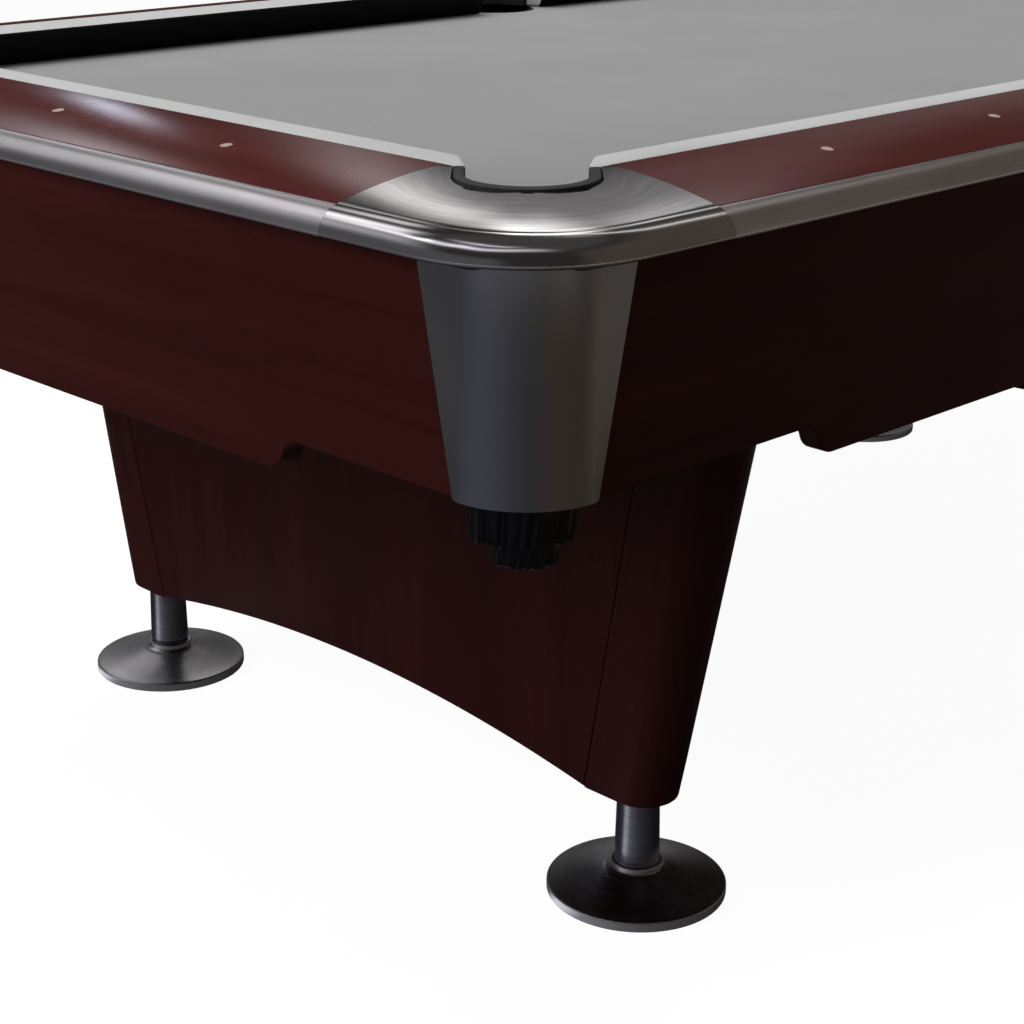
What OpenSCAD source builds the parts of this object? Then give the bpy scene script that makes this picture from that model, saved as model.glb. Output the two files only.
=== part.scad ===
// Billiard table with six drop pockets, two arched pedestals and four levelling feet.
// Lengths are in millimetres. The origin is on the floor under the middle of the table,
// +X runs along the length, +Y across the width and +Z up.

/* [Playing area] */
// Distance between two sight inlays, an eighth of the length from nose to nose
sight_pitch = 247.65; // [230:0.05:290]
// Height of the rail top above the floor
table_h = 788; // [760:1:860]

/* [Rails] */
// Width of the cloth covered cushion, from its nose to the wood
cushion_w = 49; // [44:1:54]
// Width of the wooden rail top
wood_w = 111; // [95:1:140]
// Fall of the wooden top from the cushion to the trim
wood_fall = 16; // [10:1:20]
// Rise of the crowned wooden top above a flat one
wood_crown = 3; // [1:0.5:6]
// Width of the metal trim round the outside
trim_w = 19; // [16:1:24]
// Radius of the trim's rounded edge
trim_r = 24; // [20:1:26]
// Height of the cushion's nose above the bed cloth
nose_h = 36.5; // [34:0.5:38]
// Drop of the nose below the rail top
nose_drop = 6; // [4:0.5:8]
// Radius of the nose
nose_r = 2.5; // [1.5:0.5:4]
// Diameter of a sight inlay
sight_d = 11; // [8:0.5:14]

/* [Slate and cloth] */
// Thickness of the slate
slate_t = 22; // [19:1:25]
// Reach of the slate past the nose line
slate_over = 110; // [100:1:120]
// Thickness of the cloth
cloth_t = 1; // [0.8:0.1:1.5]

/* [Pockets] */
// Radius of a pocket's opening in the metal casting
pocket_r = 58; // [56:1:60]
// Thickness of the rubber liner
liner_t = 10; // [6:1:12]
// Extra thickness of a liner at the back of its pocket
liner_back = 6; // [0:1:8]
// Distance of a corner pocket's centre behind the corner of the nose lines
corner_back = 47; // [44:1:50]
// Distance of the corner liner's ends behind the corner of the nose lines
liner_end = 12; // [8:1:20]
// Share of the width of cushion and wood at which a side pocket's centre lies
side_back_share = 0.3875; // [0.38:0.0025:0.395]
// Distance of the nose's end from the corner of the nose lines
corner_nose = 76; // [74:1:92]
// Distance of the cushion back's end from the corner of the nose lines
corner_heel = 35; // [35:1:38]
// Half the mouth of a side pocket at the noses
side_nose = 64; // [62:1:70]
// Half the mouth of a side pocket at the back of the cushions
side_heel = 52; // [50:1:56]
// Distance of the corner casting's seams from the corner of the nose lines
seam_x = 42; // [40:1:60]
// Half the length of a side casting
side_seam = 95; // [85:1:110]
// Radius of the table's corner, on the outside of the trim
corner_r = 120; // [110:1:125]

/* [Baskets] */
// Depth of a basket below the bed
basket_h = 274; // [240:1:300]
// Wall of a basket
basket_wall = 4; // [3:0.5:6]
// Outer radius of the basket above its gathered end
basket_low_r = 45; // [43:1:50]
// Outer radius of the gathered end
gather_r = 29; // [24:1:34]
// Height of the gathered end
gather_h = 26; // [18:1:36]

/* [Aprons and corner covers] */
// Distance of the apron's face inside the trim's outer edge
apron_in = 23; // [22:1:28]
// Thickness of an apron
apron_t = 22; // [18:1:25]
// Height of an apron at its ends
apron_h = 177.5; // [150:0.5:200]
// Extra depth of the apron's middle
step_h = 28.5; // [15:0.5:40]
// Length of the curve down to the deeper middle
step_l = 40; // [30:1:60]
// Start of that curve on a long apron, from the corner of the nose lines
long_step = 170; // [130:1:220]
// Start of that curve on a short apron, from the corner of the nose lines
short_step = 102; // [70:1:130]
// Thickness of a corner cover
cover_t = 5; // [3:0.5:6]
// Radius of a corner cover
cover_r = 72; // [60:1:85]
// Width of the cover's flat strip beside its rounding, at the top
strip_top = 45.3; // [30:0.1:55]
// Width of that strip at the bottom
strip_foot = 7.3; // [7:0.1:22]

/* [Frame] */
// Height of a frame beam
beam_h = 95; // [80:1:120]
// Width of a frame beam
beam_w = 45; // [40:1:60]
// Distance of the long beams inside the nose line
beam_in = 20; // [16:1:24]
// Distance of the end beams inside the nose line
beam_end_in = 60; // [50:1:80]

/* [Pedestals] */
// Distance of a pedestal's middle from the end nose line
pedestal_in = 266; // [240:1:320]
// Height of a leg's bottom above the floor
leg_bottom = 110; // [100:1:130]
// Thickness of a leg at its bottom
leg_t = 72; // [66:1:90]
// Width of a leg
leg_w = 84; // [76:1:100]
// Distance of a leg's outer edge inside the nose line, at its bottom
leg_in = 57; // [50:1:70]
// Outward lean of a leg, sideways, in degrees
leg_lean = 11; // [6:0.5:12]
// Lean of the pedestal's faces, in degrees
face_lean = 1.8; // [0.5:0.1:2.5]
// Thickness of a pedestal panel
panel_t = 20; // [16:1:22]
// Rise of the arch in a panel's lower edge
arch_rise = 34; // [15:1:60]
// Width of the seam between a panel and a leg
seam_gap = 0.8; // [0.5:0.1:0.9]
// Thickness of a pedestal's top board
top_board_t = 20; // [16:1:25]

/* [Levelling feet] */
// Radius of a foot's disc
disc_r = 91.5; // [80:0.5:100]
// Height of the disc's rim
rim_h = 11; // [8:1:13]
// Height of the disc's hub
hub_h = 34; // [28:1:38]
// Radius of the hub
hub_r = 26.5; // [25:0.5:30]
// Radius of the stem at the top
stem_r = 21.5; // [18:0.5:23]
// Radius of the stem at the bottom
stem_foot_r = 23.5; // [22:0.5:24]
// Radius of the spindle
spindle_r = 10; // [8:0.5:11]
// Length of the spindle above the leg's bottom
spindle_l = 85; // [75:1:95]
// Travel of a foot into its leg
foot_travel = 20; // [10:1:25]
// Radius of the journal that turns in the hub
journal_r = 12; // [10:0.5:13]
// Length of the journal
journal_l = 18; // [14:1:20]
// Length of the threaded bush in the leg
bush_l = 45; // [35:1:50]
// Outer radius of that bush
bush_r = 15; // [13:0.5:16]
// Room around the stem in the leg's socket
socket_room = 1; // [0.8:0.1:2]

/* [Fasteners] */
// Radius of a rail bolt's shank
rail_bolt_r = 5; // [4:0.5:6]
// Distance of the rail bolts behind the nose line
rail_bolt_u = 80; // [74:1:90]
// Grip of a rail bolt in the wood
rail_bolt_grip = 18; // [14:1:24]
// Radius of a slate screw's shank
slate_screw_r = 3.5; // [3:0.5:5]
// Length of a slate screw
slate_screw_l = 60; // [50:1:70]
// Radius of a frame bolt's shank
frame_bolt_r = 5; // [4:0.5:6]
// Length of a frame bolt
frame_bolt_l = 80; // [60:1:85]
// Radius of a cover screw's shank
cover_screw_r = 3; // [2:0.5:3.5]

/* [Hidden] */
// The playing area is twice as long as it is wide
pitches_long_share = 8;
half_l = sight_pitch * pitches_long_share / 2;
half_w = half_l / 2;

// Clearances: soft against hard, running fits, shanks in holes, and one overrun for all cuts
soft_gap = 0.3;
run_gap = 0.05;
hole_gap = 0.4;
thrust_gap = 0.2;
over = 5;

// Distances across the rail, from the nose line outwards
wood_out = cushion_w + wood_w;
rail_out = wood_out + trim_w;
side_back = wood_out * side_back_share;
apron_face = rail_out - apron_in;
cover_in = apron_face + soft_gap;
cover_out = cover_in + cover_t;
cover_round = cover_out - cover_r;
cover_top = cover_round - strip_top;
cover_foot = cover_round - strip_foot;

// Heights, counted down from the rail top
bed_z = -(nose_drop + nose_h);
slate_top = bed_z - cloth_t;
slate_bottom = slate_top - slate_t;
beam_bottom = slate_bottom - beam_h;
apron_bottom = bed_z - apron_h;

// The crown is an arc through both edges of the wooden top
chord = sqrt(wood_w * wood_w + wood_fall * wood_fall);
crown_r = (chord * chord / 4 + wood_crown * wood_crown) / (2 * wood_crown);
crown_u = cushion_w + wood_w / 2 - (crown_r - wood_crown) * wood_fall / chord;
crown_z = -wood_fall / 2 - (crown_r - wood_crown) * wood_w / chord;
function crown(u) = crown_z + sqrt(crown_r * crown_r - (u - crown_u) * (u - crown_u));

// The trim starts at the wood's outer edge and turns into an upright face with a small lip
trim_u = rail_out - trim_r;
trim_start = acos((wood_out - trim_u) / trim_r);
trim_z = -wood_fall - trim_r * sin(trim_start);
lip_r = trim_z - bed_z;

crown_steps = 16;
arc_steps = 12;
function arc(u, z, r, from, to, n) =
    [for (i = [0 : n]) [u + r * cos(from + (to - from) * i / n), z + r * sin(from + (to - from) * i / n)]];
function crown_line(from, to) =
    [for (i = [0 : crown_steps]) let (u = from + (to - from) * i / crown_steps) [u, crown(u)]];

wood_top = crown_line(cushion_w, wood_out);
trim_edge = concat(
    arc(trim_u, trim_z, trim_r, trim_start, 0, arc_steps),
    arc(rail_out - lip_r, trim_z, lip_r, 0, -90, arc_steps / 2)
);
wood_outline = concat(wood_top, [[wood_out, bed_z], [cushion_w, bed_z]]);
trim_outline = concat(trim_edge, [[wood_out, bed_z]]);
casting_outline = concat(wood_top, trim_edge, [[cushion_w, bed_z]]);

// The cushion's nose arc in degrees, its undercut and its base
nose_from = 94;
nose_to = 225;
undercut_u = cushion_w * 0.45;
undercut_z = bed_z * 0.68;
base_u = cushion_w * 0.55;
cushion_back = cushion_w - soft_gap;
cushion_outline = concat(
    [[cushion_back, crown(cushion_w)]],
    arc(nose_r, -nose_drop, nose_r, nose_from, nose_to, arc_steps),
    [[undercut_u, undercut_z], [base_u, bed_z + soft_gap], [cushion_back, bed_z + soft_gap]]
);

// Corner and side pocket centres
corner_off = corner_back / sqrt(2);
skirt_r = pocket_r + cloth_t;
basket_top_r = pocket_r - cloth_t / 2;
slot_reach = slate_over * 2;
corner_centre_u = rail_out - corner_r;

// Sights stand midway across the wood, a hair above it
sight_u = cushion_w + wood_w / 2;
sight_t = 4;
sight_proud = 0.15;

// Fastener heads
rail_bolt_head_r = rail_bolt_r * 1.8;
rail_bolt_head_h = rail_bolt_r * 1.4;
washer_r = rail_bolt_r * 2.8;
washer_t = rail_bolt_r / 2;
slate_head_r = slate_screw_r * 2.2;
slate_head_h = slate_screw_r * 1.2;
frame_head_r = frame_bolt_r * 1.8;
frame_head_h = frame_bolt_r * 1.3;
cover_head_r = cover_screw_r * 2;
cover_head_h = cover_screw_r;
beam_mid = half_w - beam_in - beam_w / 2;
cross_half = half_w - beam_in - beam_w - soft_gap;

// Brackets that hold the aprons under the rails
bracket_t = 3;
bracket_l = 50;
bracket_h = 40;
bracket_w = apron_face - apron_t - slate_over - hole_gap * 2;

// Pedestal heights and places
leg_top = table_h + beam_bottom - top_board_t;
leg_rise = leg_top - leg_bottom;
leg_slice = 0.5;
pedestal_x = -half_l + pedestal_in;
leg_out = -half_w + leg_in;
leg_shift = leg_rise * tan(leg_lean);
leg_spread = leg_rise * tan(face_lean);
foot_y = leg_out + leg_w / 2;
panel_low = leg_rise * 0.004;
panel_high = leg_rise - panel_t * sin(face_lean) - soft_gap;
board_edge = soft_gap * 10;
frame_bolt_shares = [0.35, 0.75];

// The stem's top stands in a socket that lets it in, and the bush lies flush above that
stem_top = leg_bottom + thrust_gap * 10;
stem_socket_r = stem_r + socket_room;
bush_base = stem_top + foot_travel + thrust_gap * 10;
bush_flange_r = bush_r * 1.35;
bush_flange_h = bush_r / 5;
spindle_end = leg_bottom + spindle_l;

// Foot proportions
rim_round = rim_h / 5;
cone_h = hub_h * 0.8;
socket_floor = hub_h - journal_l - thrust_gap;

// Names by place, front left first, and the signs of each quarter
quarters = ["front_left", "front_right", "back_right", "back_left"];
signs = [[-1, -1], [1, -1], [1, 1], [-1, 1]];
ends = ["left", "right"];
sides = ["front", "back"];

$fn = 96;

// Everything is drawn for the front left quarter and mirrored to its place

module flip_x(on) {
    if (on) mirror([1, 0, 0]) children();
    else children();
}

module flip_y(on) {
    if (on) mirror([0, 1, 0]) children();
    else children();
}

module quarter(q) {
    flip_x(signs[q][0] > 0) flip_y(signs[q][1] > 0) children();
}

module all_quarters() {
    for (q = [0 : 3]) quarter(q) children();
}

// A bar along the front side: its section is drawn with x outwards and y up
module run_x(from, to) {
    translate([to, -half_w, table_h]) rotate([90, 0, -90]) linear_extrude(to - from) children();
}

// The same along the left end
module run_y(from, to) {
    translate([-half_l, from, table_h]) rotate([90, 0, 180]) linear_extrude(to - from) children();
}

// A vertical prism between two heights that are counted from the rail top
module prism(bottom, top) {
    translate([0, 0, table_h + bottom]) linear_extrude(top - bottom) children();
}

module rod(r, bottom, top) {
    translate([0, 0, bottom]) cylinder(r = r, h = top - bottom);
}

// Pocket shapes: a circle with a straight throat along +X

module throat(r, reach) {
    circle(r);
    translate([0, -r]) square([reach, 2 * r]);
}

module at_corner_pocket() {
    translate([-half_l - corner_off, -half_w - corner_off]) children();
}

module at_side_pocket() {
    translate([0, -half_w - side_back]) children();
}

module pocket_cuts(r) {
    all_quarters() at_corner_pocket() rotate(225) throat(r, slot_reach);
    for (s = [0 : 1]) flip_y(s == 1) at_side_pocket() rotate(-90) throat(r, slot_reach);
}

// Fastener places

module long_bolt_places() {
    for (i = [0 : 3]) translate([-half_l + sight_pitch * (i + 0.5), -half_w - rail_bolt_u, 0]) children();
}

module end_bolt_places() {
    for (i = [-1.5 : 1.5]) translate([-half_l - rail_bolt_u, sight_pitch * i, 0]) children();
}

module rail_bolt_places() {
    all_quarters() long_bolt_places() children();
    for (e = [0 : 1]) flip_x(e == 1) end_bolt_places() children();
}

module slate_screw_places() {
    for (s = [-1, 1]) for (i = [-2 : 2]) translate([i * sight_pitch * 1.5, s * beam_mid, 0]) children();
}

module frame_bolt_places() {
    all_quarters() for (share = frame_bolt_shares) translate([pedestal_x, -cross_half * share, 0]) children();
}

// Outward axes of the screws that hold a cover to a long and an end apron
module cover_screw_places() {
    for (share = [0.25, 0.75]) translate([-half_l, -half_w, table_h + bed_z - apron_h * share]) {
        translate([-cover_foot, -apron_face, 0]) rotate([90, 0, 0]) children();
        translate([-apron_face, -cover_foot, 0]) rotate([0, -90, 0]) children();
    }
}

// Bed

module slate_outline() {
    square([2 * (half_l + slate_over), 2 * (half_w + slate_over)], center = true);
}

module slate() {
    color("dimgray") difference() {
        prism(slate_bottom, slate_top) difference() {
            slate_outline();
            pocket_cuts(skirt_r);
        }
        rail_bolt_places() rod(rail_bolt_r + hole_gap, table_h + slate_bottom - over, table_h + slate_top + over);
        slate_screw_places() {
            rod(slate_screw_r + hole_gap, table_h + slate_bottom - over, table_h + slate_top + over);
            rod(slate_head_r + hole_gap, table_h + slate_top - slate_head_h, table_h + slate_top + over);
        }
    }
}

module bed_cloth() {
    color("darkgray") difference() {
        union() {
            prism(slate_top, bed_z) difference() {
                slate_outline();
                pocket_cuts(pocket_r);
            }
            prism(slate_bottom, slate_top) intersection() {
                slate_outline();
                difference() {
                    pocket_cuts(skirt_r);
                    pocket_cuts(pocket_r);
                }
            }
        }
        rail_bolt_places() rod(rail_bolt_r + hole_gap, table_h + slate_top - over, table_h + bed_z + over);
    }
}

// Frame under the slate

module long_beam() {
    prism(beam_bottom, slate_bottom)
        translate([-half_l + beam_end_in, -half_w + beam_in]) square([2 * (half_l - beam_end_in), beam_w]);
}

// A cross beam that starts at x and fits between the long beams
module cross_beam(x) {
    prism(beam_bottom, slate_bottom) translate([x, -cross_half]) square([beam_w, 2 * cross_half]);
}

module frame_beams() {
    color("burlywood") {
        difference() {
            for (s = [0 : 1]) flip_y(s == 1) long_beam();
            slate_screw_places()
                rod(slate_screw_r + run_gap, table_h + slate_top - slate_screw_l, table_h + slate_bottom + over);
        }
        difference() {
            for (e = [0 : 1]) flip_x(e == 1) {
                cross_beam(-half_l + beam_end_in);
                cross_beam(pedestal_x - beam_w / 2);
            }
            frame_bolt_places()
                rod(frame_bolt_r + run_gap, table_h + beam_bottom - over, leg_top + frame_bolt_l);
        }
        cross_beam(-beam_w / 2);
    }
}

// Rails

module long_sight_places() {
    for (i = [1 : 3]) translate([-half_l + sight_pitch * i, -half_w - sight_u]) children();
}

module end_sight_places() {
    for (i = [-1 : 1]) translate([-half_l - sight_u, sight_pitch * i]) rotate(90) children();
}

module rail_bolt_holes() {
    rod(rail_bolt_r + run_gap, table_h + bed_z - over, table_h + bed_z + rail_bolt_grip);
}

module long_rail(q) {
    color("#5a2022") quarter(q) difference() {
        run_x(-half_l + seam_x, -side_seam) polygon(wood_outline);
        long_bolt_places() rail_bolt_holes();
        prism(crown(sight_u) - sight_t, over) long_sight_places() circle(sight_d / 2);
    }
}

module end_rail(e) {
    color("#5a2022") flip_x(e == 1) difference() {
        run_y(-half_w + seam_x, half_w - seam_x) polygon(wood_outline);
        end_bolt_places() rail_bolt_holes();
        prism(crown(sight_u) - sight_t, over) end_sight_places() circle(sight_d / 2);
    }
}

// The inlays are cut to the crown of the rail, a little above it
module sights() {
    color("mistyrose") {
        all_quarters() intersection() {
            prism(crown(sight_u) - sight_t, over) long_sight_places() circle((sight_d - soft_gap) / 2);
            translate([0, 0, sight_proud]) run_x(-half_l, 0) polygon(wood_outline);
        }
        for (e = [0 : 1]) flip_x(e == 1) intersection() {
            prism(crown(sight_u) - sight_t, over) end_sight_places() circle((sight_d - soft_gap) / 2);
            translate([0, 0, sight_proud]) run_y(-half_w, half_w) polygon(wood_outline);
        }
    }
}

module rail_trims() {
    color("silver") {
        for (e = [0 : 1]) flip_x(e == 1) run_y(-half_w + seam_x, half_w - seam_x) polygon(trim_outline);
        all_quarters() run_x(-half_l + seam_x, -side_seam) polygon(trim_outline);
    }
}

// Cushions: the section runs along the rail and the pocket facings trim its ends

module long_cushion(q) {
    color("gainsboro") quarter(q) intersection() {
        run_x(-half_l, 0) polygon(cushion_outline);
        prism(bed_z, over) translate([0, -half_w]) polygon([
            [-half_l + corner_nose, 0], [-side_nose, 0], [-side_heel, -cushion_w], [-half_l + corner_heel, -cushion_w]
        ]);
    }
}

module end_cushion(e) {
    color("gainsboro") flip_x(e == 1) intersection() {
        run_y(-half_w, half_w) polygon(cushion_outline);
        prism(bed_z, over) translate([-half_l, 0]) polygon([
            [0, -half_w + corner_nose], [0, half_w - corner_nose],
            [-cushion_w, half_w - corner_heel], [-cushion_w, -half_w + corner_heel]
        ]);
    }
}

// Castings: the rail's section turned round the corner, with the pocket cut through

module corner_block() {
    run_x(-half_l - corner_centre_u, -half_l + seam_x) polygon(casting_outline);
    run_y(-half_w - corner_centre_u, -half_w + seam_x) polygon(casting_outline);
    translate([-half_l - corner_centre_u, -half_w - corner_centre_u, table_h])
        rotate([0, 0, 180]) rotate_extrude(angle = 90) intersection() {
            translate([-corner_centre_u, 0]) polygon(casting_outline);
            translate([0, bed_z]) square([corner_r, -bed_z]);
        }
}

module corner_casting(q) {
    color("silver") quarter(q) difference() {
        corner_block();
        prism(bed_z - over, over) at_corner_pocket() rotate(45) throat(pocket_r, slot_reach);
    }
}

module side_casting(s) {
    color("silver") flip_y(s == 1) difference() {
        run_x(-side_seam, side_seam) polygon(casting_outline);
        prism(bed_z - over, over) at_side_pocket() rotate(90) throat(pocket_r, slot_reach);
    }
}

// Pocket liners and baskets

module liner_shape(reach) {
    difference() {
        intersection() {
            throat(pocket_r - soft_gap, reach);
            translate([-pocket_r, -pocket_r]) square([pocket_r + reach, 2 * pocket_r]);
        }
        translate([liner_back, 0]) throat(pocket_r - liner_t, reach + over);
    }
}

module pocket_liners() {
    color("#303234") {
        all_quarters() prism(bed_z, -soft_gap)
            at_corner_pocket() rotate(45) liner_shape(corner_back - liner_end);
        for (s = [0 : 1]) flip_y(s == 1) prism(bed_z, -soft_gap)
            at_side_pocket() rotate(90) liner_shape(side_back - cushion_w);
    }
}

module basket() {
    body_h = basket_h - gather_h;
    rim_h = slate_t;
    color("#1c1c1e") translate([0, 0, table_h + bed_z]) rotate_extrude() polygon([
        [basket_top_r, 0], [basket_top_r, -rim_h], [basket_low_r, -body_h],
        [gather_r, -body_h - basket_wall], [gather_r, -basket_h], [0, -basket_h],
        [0, -body_h + basket_wall], [basket_low_r - basket_wall, -body_h + basket_wall],
        [basket_top_r - basket_wall, -rim_h], [basket_top_r - basket_wall, 0]
    ]);
}

module corner_basket(q) {
    quarter(q) at_corner_pocket() basket();
}

module side_basket(s) {
    flip_y(s == 1) at_side_pocket() basket();
}

// Aprons: boards whose lower edge curves down to a deeper middle

step_turn = 2 * atan(step_h / step_l);
step_r = step_l / (2 * sin(step_turn));

function apron_half(half_span, start, reach) = concat(
    [[-half_span - reach, bed_z], [-half_span - reach, apron_bottom]],
    arc(-half_span + start, apron_bottom - step_r, step_r, 90, 90 - step_turn, arc_steps),
    arc(-half_span + start + step_l, apron_bottom - step_h + step_r, step_r, 270 - step_turn, 270, arc_steps)
);

function flipped(points) = [for (i = [len(points) - 1 : -1 : 0]) [-points[i][0], points[i][1]]];

module apron(half_span, start) {
    half_edge = apron_half(half_span, start, cover_round);
    translate([0, 0, table_h]) rotate([90, 0, 0]) linear_extrude(apron_t)
        polygon(concat(half_edge, flipped(half_edge)));
}

module cover_screw_holes() {
    all_quarters() cover_screw_places()
        translate([0, 0, -apron_t - over]) cylinder(r = cover_screw_r + run_gap, h = apron_t + 2 * over);
}

module long_apron(s) {
    color("#431514") difference() {
        flip_y(s == 1) translate([0, -half_w - apron_face + apron_t, 0]) apron(half_l, long_step);
        cover_screw_holes();
    }
}

module end_apron(e) {
    color("#431514") difference() {
        flip_x(e == 1) translate([-half_l - apron_face + apron_t, 0, 0]) rotate([0, 0, -90])
            apron(half_w, short_step);
        cover_screw_holes();
    }
}

// Corner covers: a rounded shell whose sides draw in towards the bottom

module rounded_corner(out, r) {
    difference() {
        translate([-out, -out]) square([out, out]);
        translate([-out, -out]) square([r, r]);
    }
    translate([r - out, r - out]) circle(r);
}

module cover_side_cut() {
    rotate([90, 0, 0]) linear_extrude(rail_out + over) polygon([
        [over, bed_z + over], [-cover_top, bed_z + over], [-cover_top, bed_z],
        [-cover_foot, apron_bottom], [-cover_foot, apron_bottom - over], [over, apron_bottom - over]
    ]);
}

module corner_cover(q) {
    color("#3c3d44") quarter(q) translate([-half_l, -half_w, table_h]) difference() {
        translate([0, 0, apron_bottom]) linear_extrude(bed_z - apron_bottom) difference() {
            rounded_corner(cover_out, cover_r);
            rounded_corner(cover_in, cover_r - cover_t);
        }
        intersection() {
            cover_side_cut();
            translate([-rail_out, -rail_out - over, apron_bottom - over])
                cube([rail_out + over, rail_out - cover_foot, apron_h + 2 * over]);
        }
        mirror([1, -1, 0]) intersection() {
            cover_side_cut();
            translate([-rail_out, -rail_out - over, apron_bottom - over])
                cube([rail_out + over, rail_out - cover_foot, apron_h + 2 * over]);
        }
    }
}

// Pedestals

module leg_section(t) {
    intersection() {
        union() {
            translate([0, t / 2]) circle(t / 2, $fn = 64);
            translate([-t / 2, t / 2]) square([t, leg_w]);
        }
        translate([-t / 2, 0]) square([t, leg_w]);
    }
}

module at_foot() {
    translate([pedestal_x, foot_y, 0]) children();
}

module leg(q) {
    color("#431514") quarter(q) difference() {
        hull() {
            translate([pedestal_x, leg_out, leg_bottom]) linear_extrude(leg_slice) leg_section(leg_t);
            translate([pedestal_x, leg_out - leg_shift, leg_top - leg_slice])
                linear_extrude(leg_slice) leg_section(leg_t + 2 * leg_spread);
        }
        at_foot() {
            rod(stem_socket_r, leg_bottom - over, bush_base);
            rod(bush_flange_r + run_gap, leg_bottom, bush_base + bush_flange_h);
            rod(bush_r + run_gap, leg_bottom, bush_base + bush_l);
            rod(spindle_r + hole_gap, leg_bottom, spindle_end + foot_travel + over);
        }
    }
}

module leg_bushes() {
    color("goldenrod") all_quarters() at_foot() difference() {
        union() {
            rod(bush_r, bush_base, bush_base + bush_l);
            rod(bush_flange_r, bush_base, bush_base + bush_flange_h);
        }
        rod(spindle_r + run_gap, bush_base - over, bush_base + bush_l + over);
    }
}

// The arched board, drawn upright with its lower edge from seam to seam
module panel_outline() {
    foot_half = half_w - leg_in - leg_w - seam_gap;
    top_half = foot_half + leg_shift;
    arch_r = (foot_half * foot_half + arch_rise * arch_rise) / (2 * arch_rise);
    arch_turn = asin(foot_half / arch_r);
    polygon(concat(
        arc(0, panel_low + arch_rise - arch_r, arch_r, 90 + arch_turn, 90 - arch_turn, 2 * crown_steps),
        [[top_half, panel_high], [-top_half, panel_high]]
    ));
}

module panel() {
    translate([-leg_t / 2, 0, leg_bottom]) rotate([0, -face_lean, 0])
        rotate([90, 0, 90]) linear_extrude(panel_t) panel_outline();
}

module outer_panel(e) {
    color("#4a1817") flip_x(e == 1) translate([pedestal_x, 0, 0]) panel();
}

module inner_panels() {
    color("#4a1817") for (e = [0 : 1]) flip_x(e == 1) translate([pedestal_x, 0, 0]) mirror([1, 0, 0]) panel();
}

module pedestal_top_boards() {
    half_x = leg_t / 2 + leg_spread + board_edge;
    half_y = half_w - leg_in + leg_shift + board_edge;
    color("burlywood") difference() {
        for (e = [0 : 1]) flip_x(e == 1)
            translate([pedestal_x - half_x, -half_y, leg_top]) cube([2 * half_x, 2 * half_y, top_board_t]);
        frame_bolt_places() rod(frame_bolt_r + hole_gap, leg_top - over, leg_top + top_board_t + over);
    }
}

// Levelling feet: the stem screws into the leg and turns in the disc's hub

module foot_disc(q) {
    color("gray") quarter(q) at_foot() rotate_extrude() polygon([
        [0, 0], [disc_r - rim_round, 0], [disc_r, rim_round], [disc_r, rim_h - rim_round], [disc_r - rim_round, rim_h],
        [hub_r + rim_round, cone_h], [hub_r, cone_h], [hub_r, hub_h - rim_round], [hub_r - rim_round, hub_h],
        [journal_r + run_gap, hub_h], [journal_r + run_gap, socket_floor], [0, socket_floor]
    ]);
}

module foot_stem(q) {
    color("darkgray") quarter(q) at_foot() rotate_extrude() polygon([
        [0, hub_h - journal_l], [journal_r, hub_h - journal_l], [journal_r, hub_h + thrust_gap],
        [stem_foot_r, hub_h + thrust_gap], [stem_r, stem_top],
        [spindle_r, stem_top], [spindle_r, spindle_end], [0, spindle_end]
    ]);
}

// Fasteners

module rail_bolts() {
    seat = table_h + slate_bottom;
    color("slategray") rail_bolt_places() {
        rod(rail_bolt_r, seat - washer_t, table_h + bed_z + rail_bolt_grip);
        rod(washer_r, seat - washer_t, seat);
        rod(rail_bolt_head_r, seat - washer_t - rail_bolt_head_h, seat - washer_t);
    }
}

module slate_screws() {
    color("slategray") slate_screw_places() {
        rod(slate_screw_r, table_h + slate_top - slate_screw_l, table_h + slate_top);
        rod(slate_head_r, table_h + slate_top - slate_head_h, table_h + slate_top);
    }
}

module frame_bolts() {
    color("slategray") frame_bolt_places() {
        rod(frame_bolt_r, leg_top - frame_head_h, leg_top + frame_bolt_l);
        rod(frame_head_r, leg_top - frame_head_h, leg_top);
    }
}

module bracket() {
    rotate([90, 0, 90]) linear_extrude(bracket_l, center = true) polygon([
        [0, bed_z], [0, bed_z - bracket_h], [bracket_t, bed_z - bracket_h],
        [bracket_t, bed_z - bracket_t], [bracket_w, bed_z - bracket_t], [bracket_w, bed_z]
    ]);
}

module apron_brackets() {
    inner_face = apron_face - apron_t;
    color("slategray") translate([0, 0, table_h]) {
        all_quarters() for (i = [1 : 3])
            translate([-half_l + sight_pitch * i, -half_w - inner_face, 0]) bracket();
        for (e = [0 : 1]) flip_x(e == 1) for (i = [-1 : 1])
            translate([-half_l - inner_face, sight_pitch * i, 0]) rotate([0, 0, -90]) bracket();
    }
}

// Screws that pass through the aprons from behind to the covers
module cover_screws() {
    color("slategray") all_quarters() cover_screw_places() {
        rod(cover_screw_r, -apron_t, soft_gap);
        rod(cover_head_r, -apron_t - cover_head_h, -apron_t);
    }
}

slate();
bed_cloth();
frame_beams();
rail_trims();
sights();
pocket_liners();
rail_bolts();
slate_screws();
frame_bolts();
apron_brackets();
cover_screws();
pedestal_top_boards();
leg_bushes();
inner_panels();
for (q = [0 : 3]) {
    long_rail(q);
    long_cushion(q);
    corner_casting(q);
    corner_cover(q);
    corner_basket(q);
    leg(q);
    foot_disc(q);
    foot_stem(q);
}
for (s = [0 : 1]) {
    side_casting(s);
    side_basket(s);
    long_apron(s);
}
for (e = [0 : 1]) {
    end_rail(e);
    end_cushion(e);
    end_apron(e);
    outer_panel(e);
}
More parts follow.
